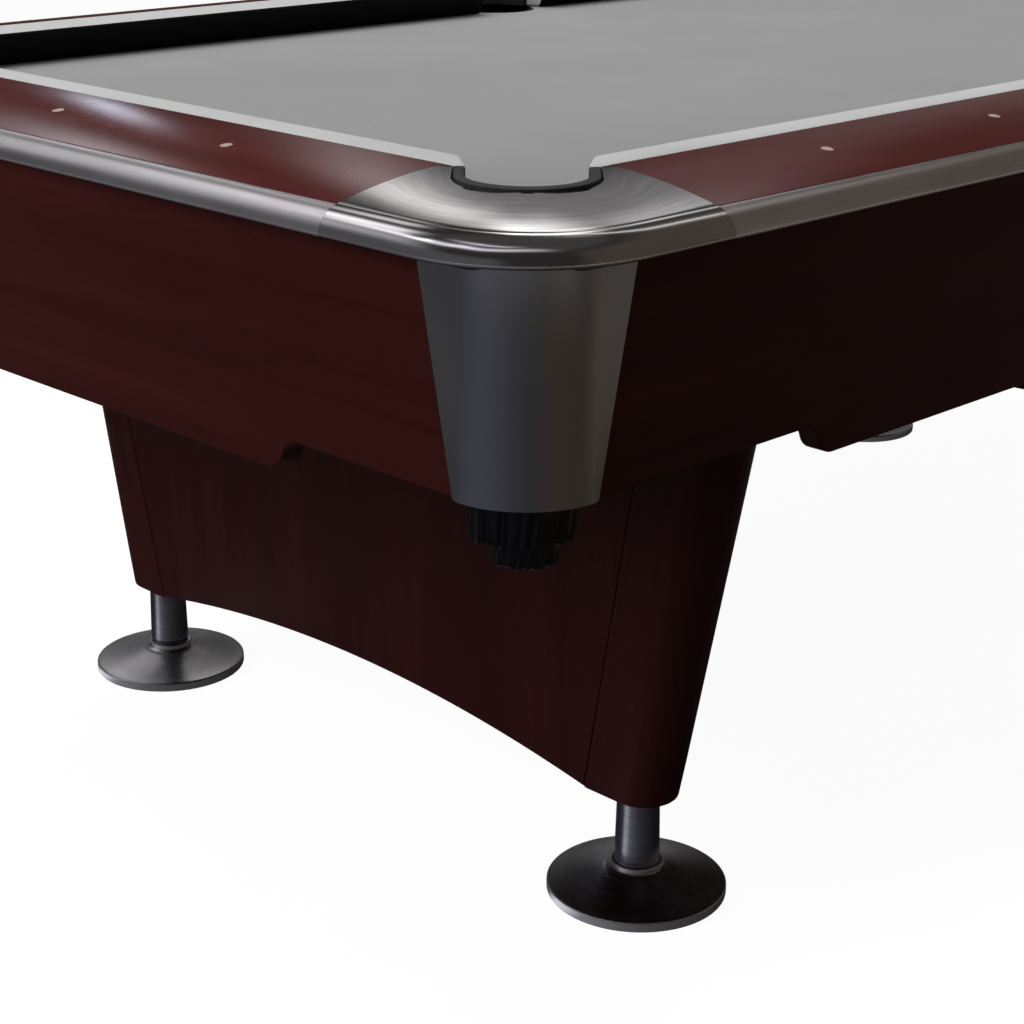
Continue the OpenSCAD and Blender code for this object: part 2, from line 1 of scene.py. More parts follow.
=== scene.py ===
# %% [markdown]
# # A billiard table with metal corners
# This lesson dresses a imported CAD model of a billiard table. The CAD parts stay where they are and
# keep their size. Around them we build the surfaces that people see: cloth, lacquered mahogany,
# brushed metal, rubber, leather and steel.

# %% Load the frame
import math
import random

import bmesh
import bpy
from mathutils import Matrix, Vector


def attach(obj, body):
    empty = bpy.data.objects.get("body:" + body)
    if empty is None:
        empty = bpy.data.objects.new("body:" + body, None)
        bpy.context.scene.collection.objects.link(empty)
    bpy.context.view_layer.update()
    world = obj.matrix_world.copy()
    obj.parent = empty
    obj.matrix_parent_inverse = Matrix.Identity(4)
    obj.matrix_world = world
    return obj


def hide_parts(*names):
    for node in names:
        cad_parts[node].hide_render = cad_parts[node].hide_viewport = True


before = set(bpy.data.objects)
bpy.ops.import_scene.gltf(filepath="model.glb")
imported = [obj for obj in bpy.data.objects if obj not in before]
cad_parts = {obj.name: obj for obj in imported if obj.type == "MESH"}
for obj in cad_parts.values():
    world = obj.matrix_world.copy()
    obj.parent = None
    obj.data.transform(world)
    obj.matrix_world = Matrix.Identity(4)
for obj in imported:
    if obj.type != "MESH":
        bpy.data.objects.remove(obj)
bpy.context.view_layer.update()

scene = bpy.context.scene

# %% [markdown]
# ## The camera
# The photograph was taken from just outside one corner, a little above the rails. A camera fitted
# to the straight lines of the rails gives its place, its heading and its focal length. The last
# row of the matrix is the place, and the three before it are the camera's own axes.

# %% Place the camera
PLACE = Vector((-2.1756, -1.6693, 1.093))
HEADING, DOWN, ROLL = math.radians(45.085), math.radians(19.64), math.radians(0.329)
LENS = 75.1


def camera_axes():
    ahead = Vector((math.cos(HEADING) * math.cos(DOWN), math.sin(HEADING) * math.cos(DOWN), -math.sin(DOWN)))
    right = Vector((math.sin(HEADING), -math.cos(HEADING), 0))
    up = right.cross(ahead)
    right, up = right * math.cos(ROLL) + up * math.sin(ROLL), up * math.cos(ROLL) - right * math.sin(ROLL)
    return right, up, -ahead


eye = bpy.data.cameras.new("eye")
eye.lens = LENS
eye.clip_end = 200
camera = bpy.data.objects.new("camera", eye)
camera.matrix_world = Matrix([(*row, place) for row, place in zip(zip(*camera_axes()), PLACE)] + [(0, 0, 0, 1)])
scene.collection.objects.link(camera)
scene.camera = camera
print("camera stands", round((PLACE - Vector((-0.99, -0.495, 0.788))).length, 2), "m from the near corner")

# %% [markdown]
# ## Sizes that the pieces share
# A rail is easiest to think of as a section: u is the distance from the cushion's nose line
# outwards, and z the height above the floor. The wooden top is a shallow arc, and the metal edge
# continues it round to an upright face.

# %% Name the sizes
HALF_L, HALF_W, TOP = 0.9906, 0.4953, 0.788
CUSHION_W, WOOD_OUT, RAIL_OUT = 0.049, 0.160, 0.179
WOOD_FALL, WOOD_CROWN = 0.016, 0.003
TRIM_R, CORNER_R = 0.024, 0.120
NOSE_DROP, NOSE_R, BED = 0.006, 0.0025, 0.7455
POCKET_R, LINER_T = 0.058, 0.010
CORNER_BACK, LINER_END, SIDE_BACK = 0.047, 0.012, 0.062
CORNER_NOSE, SIDE_NOSE, SIDE_HEEL = 0.076, 0.064, 0.052
SEAM, SIDE_SEAM = 0.042, 0.095
GAP = 0.0003

CORNER_OFF = CORNER_BACK / math.sqrt(2)
WOOD_W = WOOD_OUT - CUSHION_W
QUARTERS = {"front_left": (-1, -1), "front_right": (1, -1), "back_right": (1, 1), "back_left": (-1, 1)}
SIDES = {"front": -1, "back": 1}
ENDS = {"left": -1, "right": 1}
print("the wood of a rail is", round(WOOD_W, 3), "m wide")

# %% Draw the rail's section
chord = math.hypot(WOOD_W, WOOD_FALL)
crown_r = (chord ** 2 / 4 + WOOD_CROWN ** 2) / (2 * WOOD_CROWN)
crown_u = CUSHION_W + WOOD_W / 2 - (crown_r - WOOD_CROWN) * WOOD_FALL / chord
crown_z = -WOOD_FALL / 2 - (crown_r - WOOD_CROWN) * WOOD_W / chord
trim_u = RAIL_OUT - TRIM_R
trim_start = math.acos((WOOD_OUT - trim_u) / TRIM_R)
trim_z = -WOOD_FALL - TRIM_R * math.sin(trim_start)
LIP_R, LIP_START = TOP + trim_z - BED, math.radians(9)
LIP_IN, LIP_STEPS = WOOD_OUT + 0.0005, 10


def crown(u):
    return TOP + crown_z + math.sqrt(crown_r ** 2 - (u - crown_u) ** 2)


def arc(u, z, r, start, end, steps):
    turns = [start + (end - start) * i / steps for i in range(steps + 1)]
    return [(u + r * math.cos(t), z + r * math.sin(t)) for t in turns]


def bullnose(steps=20):
    """The round metal edge: a wide radius, then a tighter one for the lip, which turns back under it."""
    round_edge = arc(trim_u, TOP + trim_z, TRIM_R, trim_start, LIP_START, steps)
    hub = TRIM_R - LIP_R
    lip_u, lip_z = trim_u + hub * math.cos(LIP_START), TOP + trim_z + hub * math.sin(LIP_START)
    lip = arc(lip_u, lip_z, LIP_R, LIP_START, -math.pi / 2, LIP_STEPS)
    return round_edge + lip[1:] + [(LIP_IN, lip[-1][1]), (LIP_IN, BED)]


print("the crown's radius is", round(crown_r, 3), "m and the lip's", round(LIP_R, 4))

# %% [markdown]
# ## A mesh from rings
# Nearly every piece here is a row of rings: a section that is swept along a rail, a leg that is
# lofted from foot to top, or a foot that is turned round an axis. One helper joins the rings with
# quads, closes the ends and writes a UV map in metres, with U along the sweep. The grain of wood
# and the lines of brushed metal follow that map round every corner.

# %% Make a mesh from rings


def running(points):
    total, out = 0.0, [0.0]
    for a, b in zip(points, points[1:]):
        total += (Vector(b) - Vector(a)).length
        out.append(total)
    return out


def ring_faces(count, size, closed, looped):
    faces = []
    for i in range(count if looped else count - 1):
        for j in range(size if closed else size - 1):
            a, b = i * size + j, i * size + (j + 1) % size
            c, d = ((i + 1) % count) * size + (j + 1) % size, ((i + 1) % count) * size + j
            faces.append((a, b, c, d))
    return faces


def ring_uvs(rings, closed, looped):
    count, size = len(rings), len(rings[0])
    middle = rings[count // 2]
    across = running(middle + middle[:1] if closed else middle)
    guide = [ring[size // 2] for ring in rings]
    along = running(guide + guide[:1] if looped else guide)
    return [[(along[i], across[j]), (along[i], across[j + 1]), (along[i + 1], across[j + 1]), (along[i + 1], across[j])]
            for i in range(count if looped else count - 1) for j in range(size if closed else size - 1)]


print("two rings of four points are joined by", len(ring_faces(2, 4, True, False)), "faces")

# %% Finish a mesh and place a piece


def finish_mesh(name, verts, faces, uvs, sharp):
    mesh = bpy.data.meshes.new(name)
    mesh.from_pydata([tuple(v) for v in verts], [], faces)
    layer = mesh.uv_layers.new(name="UVMap")
    layer.data.foreach_set("uv", [x for face in uvs for uv in face for x in uv])
    work = bmesh.new()
    work.from_mesh(mesh)
    bmesh.ops.recalc_face_normals(work, faces=work.faces)
    work.to_mesh(mesh)
    work.free()
    mesh.shade_smooth()
    mesh.set_sharp_from_angle(angle=math.radians(sharp))
    return mesh


def piece(name, mesh, material, body="table", stands_for=()):
    thing = bpy.data.objects.new(name, mesh)
    scene.collection.objects.link(thing)
    mesh.materials.append(material)
    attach(thing, body)
    if stands_for:
        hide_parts(*stands_for)
    return thing


print("edges sharper than a given angle stay sharp, all others are smooth")

# %% One helper for most pieces


def ring_mesh(name, rings, closed=True, looped=False, caps=True, flat_uv=None, sharp=35, uv_start=(0, 0)):
    """flat_uv, where given, maps a point to its place on a flat board instead."""
    size = len(rings[0])
    verts = [v for ring in rings for v in ring]
    faces = ring_faces(len(rings), size, closed, looped)
    uvs = [[flat_uv(verts[i]) for i in face] for face in faces] if flat_uv else ring_uvs(rings, closed, looped)
    if caps and not looped:
        last = (len(rings) - 1) * size
        for face in (tuple(range(size - 1, -1, -1)), tuple(range(last, last + size))):
            faces.append(face)
            uvs.append([(flat_uv or (lambda v: (v[0] + v[1], v[2])))(verts[i]) for i in face])
    uvs = [[(u + uv_start[0], v + uv_start[1]) for u, v in face] for face in uvs]
    mesh = finish_mesh(name, verts, faces, uvs, sharp)
    if caps and not looped:
        for face in mesh.polygons[-2:]:
            face.use_smooth = False
    return mesh


def mirrored(rings, signs):
    """Rings drawn for the front left quarter, turned over to another quarter."""
    return [[(-x * signs[0], -y * signs[1], z) for x, y, z in ring] for ring in rings]


print("front left is drawn, the other quarters are mirrored")

# %% [markdown]
# ## Shared shader effects
# Four effects come back in more than one finish, so each is a node group with named inputs:
# the figure of a wood grain, the fine lines that a brush leaves in metal, the weave of worsted
# cloth, and soft smudges that make a polished surface look handled. A group gives masks and
# heights only. The shader itself stays in each material.

# %% Helpers for node groups


def new_group(name, inputs, outputs):
    group = bpy.data.node_groups.new(name, "ShaderNodeTree")
    for label, kind, value in inputs:
        socket = group.interface.new_socket(name=label, in_out="INPUT", socket_type=kind)
        if value is not None:
            socket.default_value = value
    for label, kind in outputs:
        group.interface.new_socket(name=label, in_out="OUTPUT", socket_type=kind)
    return group, group.nodes.new("NodeGroupInput"), group.nodes.new("NodeGroupOutput")


def node(tree, kind, links=None, **settings):
    made = tree.nodes.new(kind)
    for key, value in settings.items():
        if key in made.bl_rna.properties:
            setattr(made, key, value)
        else:
            made.inputs[key.replace("_", " ")].default_value = value
    for key, source in (links or {}).items():
        tree.links.new(source, made.inputs[key])
    return made


print("a group is made from lists of its inputs and outputs")

# %% Arithmetic, noise and colour ramps


def maths(tree, operation, a, b=None, clamp=False):
    made = tree.nodes.new("ShaderNodeMath")
    made.operation, made.use_clamp = operation, clamp
    for place, value in enumerate((a, b)):
        if isinstance(value, (int, float)):
            made.inputs[place].default_value = value
        elif value is not None:
            tree.links.new(value, made.inputs[place])
    return made.outputs[0]


def stretched(tree, vector, scale):
    made = node(tree, "ShaderNodeMapping", {"Vector": vector})
    made.inputs["Scale"].default_value = scale
    return made.outputs[0]


def noise(tree, vector, scale, detail=2.0, rough=0.5, twist=0.0):
    made = node(tree, "ShaderNodeTexNoise", {"Vector": vector})
    for key, value in (("Scale", scale), ("Detail", detail), ("Roughness", rough), ("Distortion", twist)):
        made.inputs[key].default_value = value
    return made.outputs["Fac"]


def ramp(tree, source, stops):
    made = node(tree, "ShaderNodeValToRGB", {"Fac": source})
    elements = made.color_ramp.elements
    while len(elements) < len(stops):
        elements.new(0.5)
    for element, (place, colour) in zip(elements, stops):
        element.position = place
        element.color = (*colour, 1) if len(colour) == 3 else colour
    return made.outputs["Color"]


print("short names for the nodes that the effects need")

# %% Wood grain
FLOAT, VECTOR = "NodeSocketFloat", "NodeSocketVector"


def build_wood_grain():
    group, given, out = new_group("wood_grain", [("Vector", VECTOR, None), ("Figure", FLOAT, 1.0)],
                                  [("Figure", FLOAT), ("Pores", FLOAT), ("Height", FLOAT)])
    place = given.outputs["Vector"]
    broad = noise(group, stretched(group, place, (1.2, 14, 14)), 1.0, 3, 0.55, 0.6)
    bands = noise(group, stretched(group, place, (2.5, 60, 60)), 1.0, 4, 0.6, 0.3)
    pores = noise(group, stretched(group, place, (35, 900, 900)), 1.0, 2, 0.6)
    figure = maths(group, "ADD", maths(group, "MULTIPLY", broad, 0.6), maths(group, "MULTIPLY", bands, 0.4))
    swing = maths(group, "MULTIPLY", maths(group, "SUBTRACT", figure, 0.5), given.outputs["Figure"])
    figure = maths(group, "ADD", swing, 0.5)
    pits = maths(group, "MULTIPLY", maths(group, "SUBTRACT", pores, 0.58, clamp=True), 6.0, clamp=True)
    group.links.new(figure, out.inputs["Figure"])
    group.links.new(pits, out.inputs["Pores"])
    height = maths(group, "SUBTRACT", maths(group, "MULTIPLY", figure, 0.3), maths(group, "MULTIPLY", pits, 0.5))
    group.links.new(height, out.inputs["Height"])
    return group


WOOD_GRAIN = build_wood_grain()
print("wood grain:", len(WOOD_GRAIN.nodes), "nodes")

# %% Brushed lines


def build_brushed_lines():
    group, given, out = new_group("brushed_lines", [("Vector", VECTOR, None), ("Fineness", FLOAT, 900.0)],
                                  [("Lines", FLOAT), ("Fine", FLOAT), ("Clouds", FLOAT)])
    place = given.outputs["Vector"]
    scale = node(group, "ShaderNodeCombineXYZ", X=12.0, Z=1.0)
    group.links.new(given.outputs["Fineness"], scale.inputs["Y"])
    long_way = node(group, "ShaderNodeVectorMath", {0: place, 1: scale.outputs[0]}, operation="MULTIPLY")
    fine = noise(group, long_way.outputs[0], 1.0, 3, 0.65)
    wide = noise(group, stretched(group, place, (5, 130, 1)), 1.0, 3, 0.5)
    lines = maths(group, "ADD", maths(group, "MULTIPLY", fine, 0.65), maths(group, "MULTIPLY", wide, 0.35))
    group.links.new(lines, out.inputs["Lines"])
    group.links.new(fine, out.inputs["Fine"])
    group.links.new(noise(group, stretched(group, place, (7, 9, 7)), 1.0, 3, 0.5, 0.4), out.inputs["Clouds"])
    return group


BRUSHED_LINES = build_brushed_lines()
print("brushed lines:", len(BRUSHED_LINES.nodes), "nodes")

# %% Cloth weave


def build_cloth_weave():
    group, given, out = new_group("cloth_weave", [("Vector", VECTOR, None), ("Threads", FLOAT, 900.0)],
                                  [("Weave", FLOAT), ("Fuzz", FLOAT), ("Mottle", FLOAT), ("Height", FLOAT)])
    place = given.outputs["Vector"]
    waves = []
    for direction in ("X", "Y"):
        wave = node(group, "ShaderNodeTexWave", {"Vector": place, "Scale": given.outputs["Threads"]},
                    wave_type="BANDS", bands_direction=direction)
        wave.inputs["Distortion"].default_value = 1.2
        wave.inputs["Detail"].default_value = 1.0
        waves.append(wave.outputs["Fac"])
    weave = maths(group, "MULTIPLY", waves[0], waves[1])
    fuzz = noise(group, place, 700, 3, 0.7)
    group.links.new(weave, out.inputs["Weave"])
    group.links.new(fuzz, out.inputs["Fuzz"])
    group.links.new(noise(group, place, 4.0, 4, 0.6), out.inputs["Mottle"])
    height = maths(group, "ADD", maths(group, "MULTIPLY", weave, 0.5), maths(group, "MULTIPLY", fuzz, 0.5))
    group.links.new(height, out.inputs["Height"])
    return group


CLOTH_WEAVE = build_cloth_weave()
print("cloth weave:", len(CLOTH_WEAVE.nodes), "nodes")

# %% Smudges


def build_smudges():
    group, given, out = new_group("smudges", [("Vector", VECTOR, None), ("Size", FLOAT, 9.0)],
                                  [("Smudge", FLOAT)])
    place = given.outputs["Vector"]
    soft = node(group, "ShaderNodeTexNoise", {"Vector": place, "Scale": given.outputs["Size"]})
    soft.inputs["Detail"].default_value = 4
    group.links.new(soft.outputs["Fac"], out.inputs["Smudge"])
    return group


SMUDGES = build_smudges()
print("shader groups:", [g.name for g in bpy.data.node_groups])

# %% [markdown]
# ## Finishes
# Each finish is one Principled shader. The groups feed its colour, its roughness and a bump, so
# that no surface is a flat single colour. Wood and brushed metal read the UV map; cloth, rubber
# and leather read the place in space.

# %% A helper for materials


def start_material(name, **values):
    material = bpy.data.materials.new(name)
    material.use_nodes = True
    tree = material.node_tree
    shader = tree.nodes["Principled BSDF"]
    for key, value in values.items():
        shader.inputs[key.replace("_", " ")].default_value = value
    return material, tree, shader


def coordinate(tree, kind):
    return node(tree, "ShaderNodeTexCoord").outputs[kind]


def use_group(tree, group, vector, **values):
    made = tree.nodes.new("ShaderNodeGroup")
    made.node_tree = group
    tree.links.new(vector, made.inputs["Vector"])
    for key, value in values.items():
        made.inputs[key].default_value = value
    return made.outputs


def mix_colour(tree, fac, a, b, blend="MIX"):
    made = node(tree, "ShaderNodeMix", data_type="RGBA", blend_type=blend)
    for place, value in ((0, fac), (6, a), (7, b)):
        if isinstance(value, (tuple, float, int)):
            made.inputs[place].default_value = (*value, 1) if isinstance(value, tuple) else value
        else:
            tree.links.new(value, made.inputs[place])
    return made.outputs[2]


def between(tree, fac, low, high):
    made = node(tree, "ShaderNodeMapRange", {"Value": fac})
    made.inputs["To Min"].default_value = low
    made.inputs["To Max"].default_value = high
    return made.outputs[0]


def bump(tree, shader, height, distance, strength=1.0):
    made = node(tree, "ShaderNodeBump", {"Height": height})
    made.inputs["Distance"].default_value = distance
    made.inputs["Strength"].default_value = strength
    tree.links.new(made.outputs[0], shader.inputs["Normal"])


print("each finish starts from one Principled shader")

# %% Cloth


def cloth_material(name, dark, light, sheen):
    material, tree, shader = start_material(name, Roughness=0.95, Sheen_Weight=sheen, Sheen_Roughness=0.5)
    shader.inputs["Specular IOR Level"].default_value = 0.15
    weave = use_group(tree, CLOTH_WEAVE, coordinate(tree, "Object"), Threads=420.0)
    mottle, fuzz = maths(tree, "MULTIPLY", weave["Mottle"], 0.35), maths(tree, "MULTIPLY", weave["Fuzz"], 0.65)
    tone = maths(tree, "ADD", mottle, fuzz)
    tree.links.new(ramp(tree, tone, [(0.3, dark), (0.7, light)]), shader.inputs["Base Color"])
    bump(tree, shader, weave["Height"], 0.0004, 0.5)
    return material


bed_cloth_grey = cloth_material("bed_cloth_grey", (0.272, 0.272, 0.272), (0.36, 0.36, 0.36), 0.05)
cushion_cloth_light = cloth_material("cushion_cloth_light", (0.46, 0.465, 0.46), (0.64, 0.65, 0.645), 0.1)
# a near-black copy of the cushion cloth for the underside of the nose: painted shade
cushion_cloth_painted_shade = cloth_material("cushion_cloth_painted_shade", (0.004, 0.004, 0.004), (0.009, 0.009, 0.009), 0.0)
print("cloths are matt, with a thread every few tenths of a millimetre")

# %% Mahogany


def mahogany(name, dark, light, roughness, specular, coat, peel=0.0, figure=1.1):
    material, tree, shader = start_material(name, Coat_Weight=coat, Coat_Roughness=roughness)
    shader.inputs["Specular IOR Level"].default_value = specular
    place = coordinate(tree, "UV")
    grain = use_group(tree, WOOD_GRAIN, place, Figure=figure)
    wear = use_group(tree, SMUDGES, place, Size=11.0)
    colour = ramp(tree, grain["Figure"], [(0.3, dark), (0.7, light)])
    colour = mix_colour(tree, maths(tree, "MULTIPLY", grain["Pores"], 0.45), colour, tuple(x * 0.35 for x in dark))
    tree.links.new(colour, shader.inputs["Base Color"])
    tree.links.new(between(tree, wear["Smudge"], roughness * 0.75, roughness * 1.35), shader.inputs["Roughness"])
    height = maths(tree, "MULTIPLY", grain["Height"], 0.25)
    if peel:
        height = maths(tree, "ADD", height, maths(tree, "MULTIPLY", noise(tree, place, 380, 2, 0.5), peel))
    bump(tree, shader, height, 0.0002, 0.6)
    return material


rail_mahogany = mahogany("rail_mahogany", (0.062, 0.0100, 0.0088), (0.114, 0.0215, 0.0190), 0.13, 0.16, 0.0, 0.5)
apron_mahogany = mahogany("apron_mahogany", (0.040, 0.0075, 0.0065), (0.070, 0.0135, 0.0115), 0.42, 0.06, 0.0)
pedestal_mahogany = mahogany("pedestal_mahogany", (0.037, 0.0088, 0.0082), (0.061, 0.0148, 0.0136), 0.45, 0.06, 0.0)
print("the rail top is glossier than the aprons")

# %% Metals


def brushed_metal(name, dark, light, rough, anisotropy, fineness=900.0, bump_depth=0.00002, object_space=False):
    material, tree, shader = start_material(name, Metallic=1.0, Anisotropic=anisotropy)
    place = coordinate(tree, "Object" if object_space else "UV")
    lines = use_group(tree, BRUSHED_LINES, place, Fineness=fineness)
    wear = use_group(tree, SMUDGES, place, Size=14.0)
    strokes, clouds = maths(tree, "MULTIPLY", lines["Lines"], 0.7), maths(tree, "MULTIPLY", lines["Clouds"], 0.3)
    tone = maths(tree, "ADD", strokes, clouds)
    tree.links.new(ramp(tree, tone, [(0.41, dark), (0.60, light)]), shader.inputs["Base Color"])
    rough_value = maths(tree, "ADD", between(tree, lines["Lines"], rough * 0.8, rough * 1.25),
                        maths(tree, "MULTIPLY", maths(tree, "SUBTRACT", wear["Smudge"], 0.5), rough * 0.5))
    tree.links.new(rough_value, shader.inputs["Roughness"])
    if anisotropy and not object_space:
        tangent = node(tree, "ShaderNodeTangent", direction_type="UV_MAP", uv_map="UVMap")
        tree.links.new(tangent.outputs[0], shader.inputs["Tangent"])
    bump(tree, shader, lines["Fine"], bump_depth, 0.6)
    return material


casting_metal = brushed_metal("casting_metal", (0.36, 0.35, 0.355), (0.56, 0.55, 0.555), 0.15, 0.3, 1300.0, 0.000007)
bullnose_metal = brushed_metal("bullnose_metal", (0.42, 0.41, 0.41), (0.54, 0.53, 0.53), 0.12, 0.0, 1500.0, 0.000003)
trim_metal = brushed_metal("trim_metal", (0.64, 0.62, 0.63), (0.80, 0.775, 0.79), 0.3, 0.1, 1800.0, 0.000006)
cover_metal = brushed_metal("cover_metal", (0.23, 0.23, 0.235), (0.25, 0.25, 0.255), 0.2, 0.0, 5000.0, 0.0000003)
stem_metal = brushed_metal("stem_metal", (0.20, 0.20, 0.22), (0.30, 0.30, 0.33), 0.18, 0.5, 1500.0, 0.000004)
disc_metal = brushed_metal("disc_metal", (0.47, 0.46, 0.47), (0.66, 0.65, 0.66), 0.27, 0.8, 1800.0, 0.00001)
zinc_metal = brushed_metal("zinc_metal", (0.40, 0.41, 0.43), (0.60, 0.61, 0.64), 0.38, 0.0, 300.0, object_space=True)
brass_metal = brushed_metal("brass_metal", (0.55, 0.40, 0.16), (0.75, 0.58, 0.28), 0.3, 0.0, 300.0, object_space=True)
print("metals:", [m.name for m in bpy.data.materials if "metal" in m.name])

# %% Rubber, leather, stone, softwood and inlay


def plain_material(name, dark, light, scale, roughness, bump_distance, specular=0.5):
    material, tree, shader = start_material(name)
    shader.inputs["Specular IOR Level"].default_value = specular
    place = coordinate(tree, "Object")
    wear = use_group(tree, SMUDGES, place, Size=scale)
    grain = noise(tree, place, scale * 12, 4, 0.6)
    tree.links.new(ramp(tree, wear["Smudge"], [(0.3, dark), (0.7, light)]), shader.inputs["Base Color"])
    tree.links.new(between(tree, grain, roughness * 0.85, roughness * 1.15), shader.inputs["Roughness"])
    bump(tree, shader, grain, bump_distance, 0.5)
    return material


liner_rubber = plain_material("liner_rubber", (0.024, 0.0245, 0.0245), (0.036, 0.0375, 0.037), 40, 0.6, 0.0001, 0.2)
slate_stone = plain_material("slate_stone", (0.10, 0.105, 0.11), (0.16, 0.165, 0.17), 18, 0.7, 0.0002)
sight_inlay = plain_material("sight_inlay", (0.42, 0.31, 0.30), (0.58, 0.46, 0.44), 260, 0.25, 0.00003)


def leather(name):
    material, tree, shader = start_material(name)
    shader.inputs["Specular IOR Level"].default_value = 0.25
    place = coordinate(tree, "Object")
    cells = node(tree, "ShaderNodeTexVoronoi", {"Vector": place}, feature="DISTANCE_TO_EDGE")
    cells.inputs["Scale"].default_value = 420
    wear = use_group(tree, SMUDGES, place, Size=30.0)
    blacks = [(0.3, (0.0022, 0.0024, 0.003)), (0.75, (0.006, 0.0065, 0.0085))]
    tree.links.new(ramp(tree, wear["Smudge"], blacks), shader.inputs["Base Color"])
    tree.links.new(between(tree, wear["Smudge"], 0.3, 0.5), shader.inputs["Roughness"])
    bump(tree, shader, cells.outputs["Distance"], 0.0006, 0.6)
    return material


basket_leather = leather("basket_leather")


def softwood(name):
    material, tree, shader = start_material(name, Roughness=0.7)
    grain = use_group(tree, WOOD_GRAIN, coordinate(tree, "Object"), Figure=1.5)
    yellows = [(0.3, (0.36, 0.22, 0.10)), (0.7, (0.62, 0.45, 0.26))]
    tree.links.new(ramp(tree, grain["Figure"], yellows), shader.inputs["Base Color"])
    bump(tree, shader, grain["Height"], 0.0005, 0.4)
    return material


frame_pine = softwood("frame_pine")
print("materials:", len(bpy.data.materials))

# %% [markdown]
# ## CAD parts that keep their shape
# The slate, the beams under it, the brackets and the screws are right as they are. They only need
# their finish, which goes into the slots that the CAD model brought along.

# %% Give the kept CAD parts their finish
KEPT = {"slate": slate_stone, "frame_beams": frame_pine, "pedestal_top_boards": frame_pine, "sights": sight_inlay,
        "rail_bolts": zinc_metal, "slate_screws": zinc_metal, "frame_bolts": zinc_metal, "apron_brackets": zinc_metal,
        "cover_screws": zinc_metal, "leg_bushes": brass_metal}
for name, material in KEPT.items():
    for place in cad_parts[name].material_slots:
        place.material = material
print("kept CAD parts:", len(KEPT))

# %% [markdown]
# ## The bed cloth
# On the real table the cloth is pulled tight over the slate, turned down over its edges and into
# the pocket cuts, and glued. So it is one thin sheet: a flat outline with six notches, a rounded
# fold, and a short skirt. A Solidify modifier gives it its millimetre.

# %% Outline of the cloth
CLOTH_L, CLOTH_W, SKIRT = HALF_L + 0.1105, HALF_W + 0.1105, 0.020


def corner_notch():
    """The notch of the front left pocket, from the long edge round to the end edge."""
    cx, cy = -HALF_L - CORNER_OFF, -HALF_W - CORNER_OFF
    r = POCKET_R + 0.0002
    start, end = math.radians(-45), math.radians(135)
    mouth = [(cx + r * math.cos(t), cy + r * math.sin(t)) for t in (start + (end - start) * i / 36 for i in range(37))]
    first, last = mouth[0], mouth[-1]
    drop, run = first[1] + CLOTH_W, last[0] + CLOTH_L
    return [(first[0] - drop, -CLOTH_W), *mouth, (-CLOTH_L, last[1] - run)]


def side_notch():
    cy, r = -HALF_W - SIDE_BACK, POCKET_R + 0.0002
    bend = [(r * math.cos(t), cy + r * math.sin(t)) for t in (math.pi - math.pi * i / 30 for i in range(31))]
    return [(-r, -CLOTH_W), *bend, (r, -CLOTH_W)]


def cloth_outline():
    notch = corner_notch()
    left = [(x, y) for x, y in notch[::-1]] + side_notch() + [(-x, y) for x, y in notch]
    return left + [(-x, -y) for x, y in left]


outline = cloth_outline()
print("the cloth's outline has", len(outline), "points")

# %% Offset a flat outline inwards


def inset(points, distance):
    """The outline with each point moved inwards by the distance, keeping its edges parallel."""
    area = sum(a[0] * b[1] - b[0] * a[1] for a, b in zip(points, points[1:] + points[:1])) / 2
    way = 1 if area > 0 else -1
    moved = []
    for before, here, after in zip(points[-1:] + points[:-1], points, points[1:] + points[:1]):
        a = Vector((here[0] - before[0], here[1] - before[1])).normalized()
        b = Vector((after[0] - here[0], after[1] - here[1])).normalized()
        inward = Vector((-a.y - b.y, a.x + b.x)) * way
        share = max(inward.length_squared / 2, 0.4)
        moved.append((here[0] + inward.x * distance / share, here[1] + inward.y * distance / share))
    return moved


print("drawn in by 2 mm, its first point lies at", [round(x, 4) for x in inset(outline, 0.002)[0]])

# %% Make the cloth
FOLD_R = 0.0022
fold = [(FOLD_R * (1 - math.sin(t)), FOLD_R * (1 - math.cos(t))) for t in (math.pi / 2 * i / 4 for i in range(5))]
cloth_rings = [[(*p, BED - down) for p in inset(outline, d)] for d, down in fold]
cloth_rings.append([(*p, BED - SKIRT) for p in outline])
cloth_mesh = ring_mesh("bed_cloth_sheet", cloth_rings, caps=False, flat_uv=lambda v: (v[0], v[1]))
work = bmesh.new()
work.from_mesh(cloth_mesh)
work.verts.ensure_lookup_table()
work.faces.new([work.verts[i] for i in range(len(outline))])
bmesh.ops.recalc_face_normals(work, faces=work.faces)
top_face = max(work.faces, key=lambda f: f.calc_area())
if top_face.normal.z < 0:
    bmesh.ops.reverse_faces(work, faces=work.faces)
for face in work.faces:
    face.smooth = face is not top_face
cloth_area = sum(f.calc_area() for f in work.faces)
work.to_mesh(cloth_mesh)
work.free()
cloth = piece("bed_cloth_sheet", cloth_mesh, bed_cloth_grey, stands_for=["bed_cloth"])
thickness = cloth.modifiers.new("thickness", "SOLIDIFY")
thickness.thickness, thickness.offset = 0.0009, -1

# %% [markdown]
# ## Cushions
# Each cushion is a strip of rubber under tight cloth. Its section is a wedge: the nose looks over
# the bed, the underside cuts back, and the back stands against the wood. The ends are cut at an
# angle for the pocket mouths, and the cloth rounds them off. The section is swept from one cut to
# the other, with a few shrinking rings at each end for the rounding.

# %% Section of a cushion


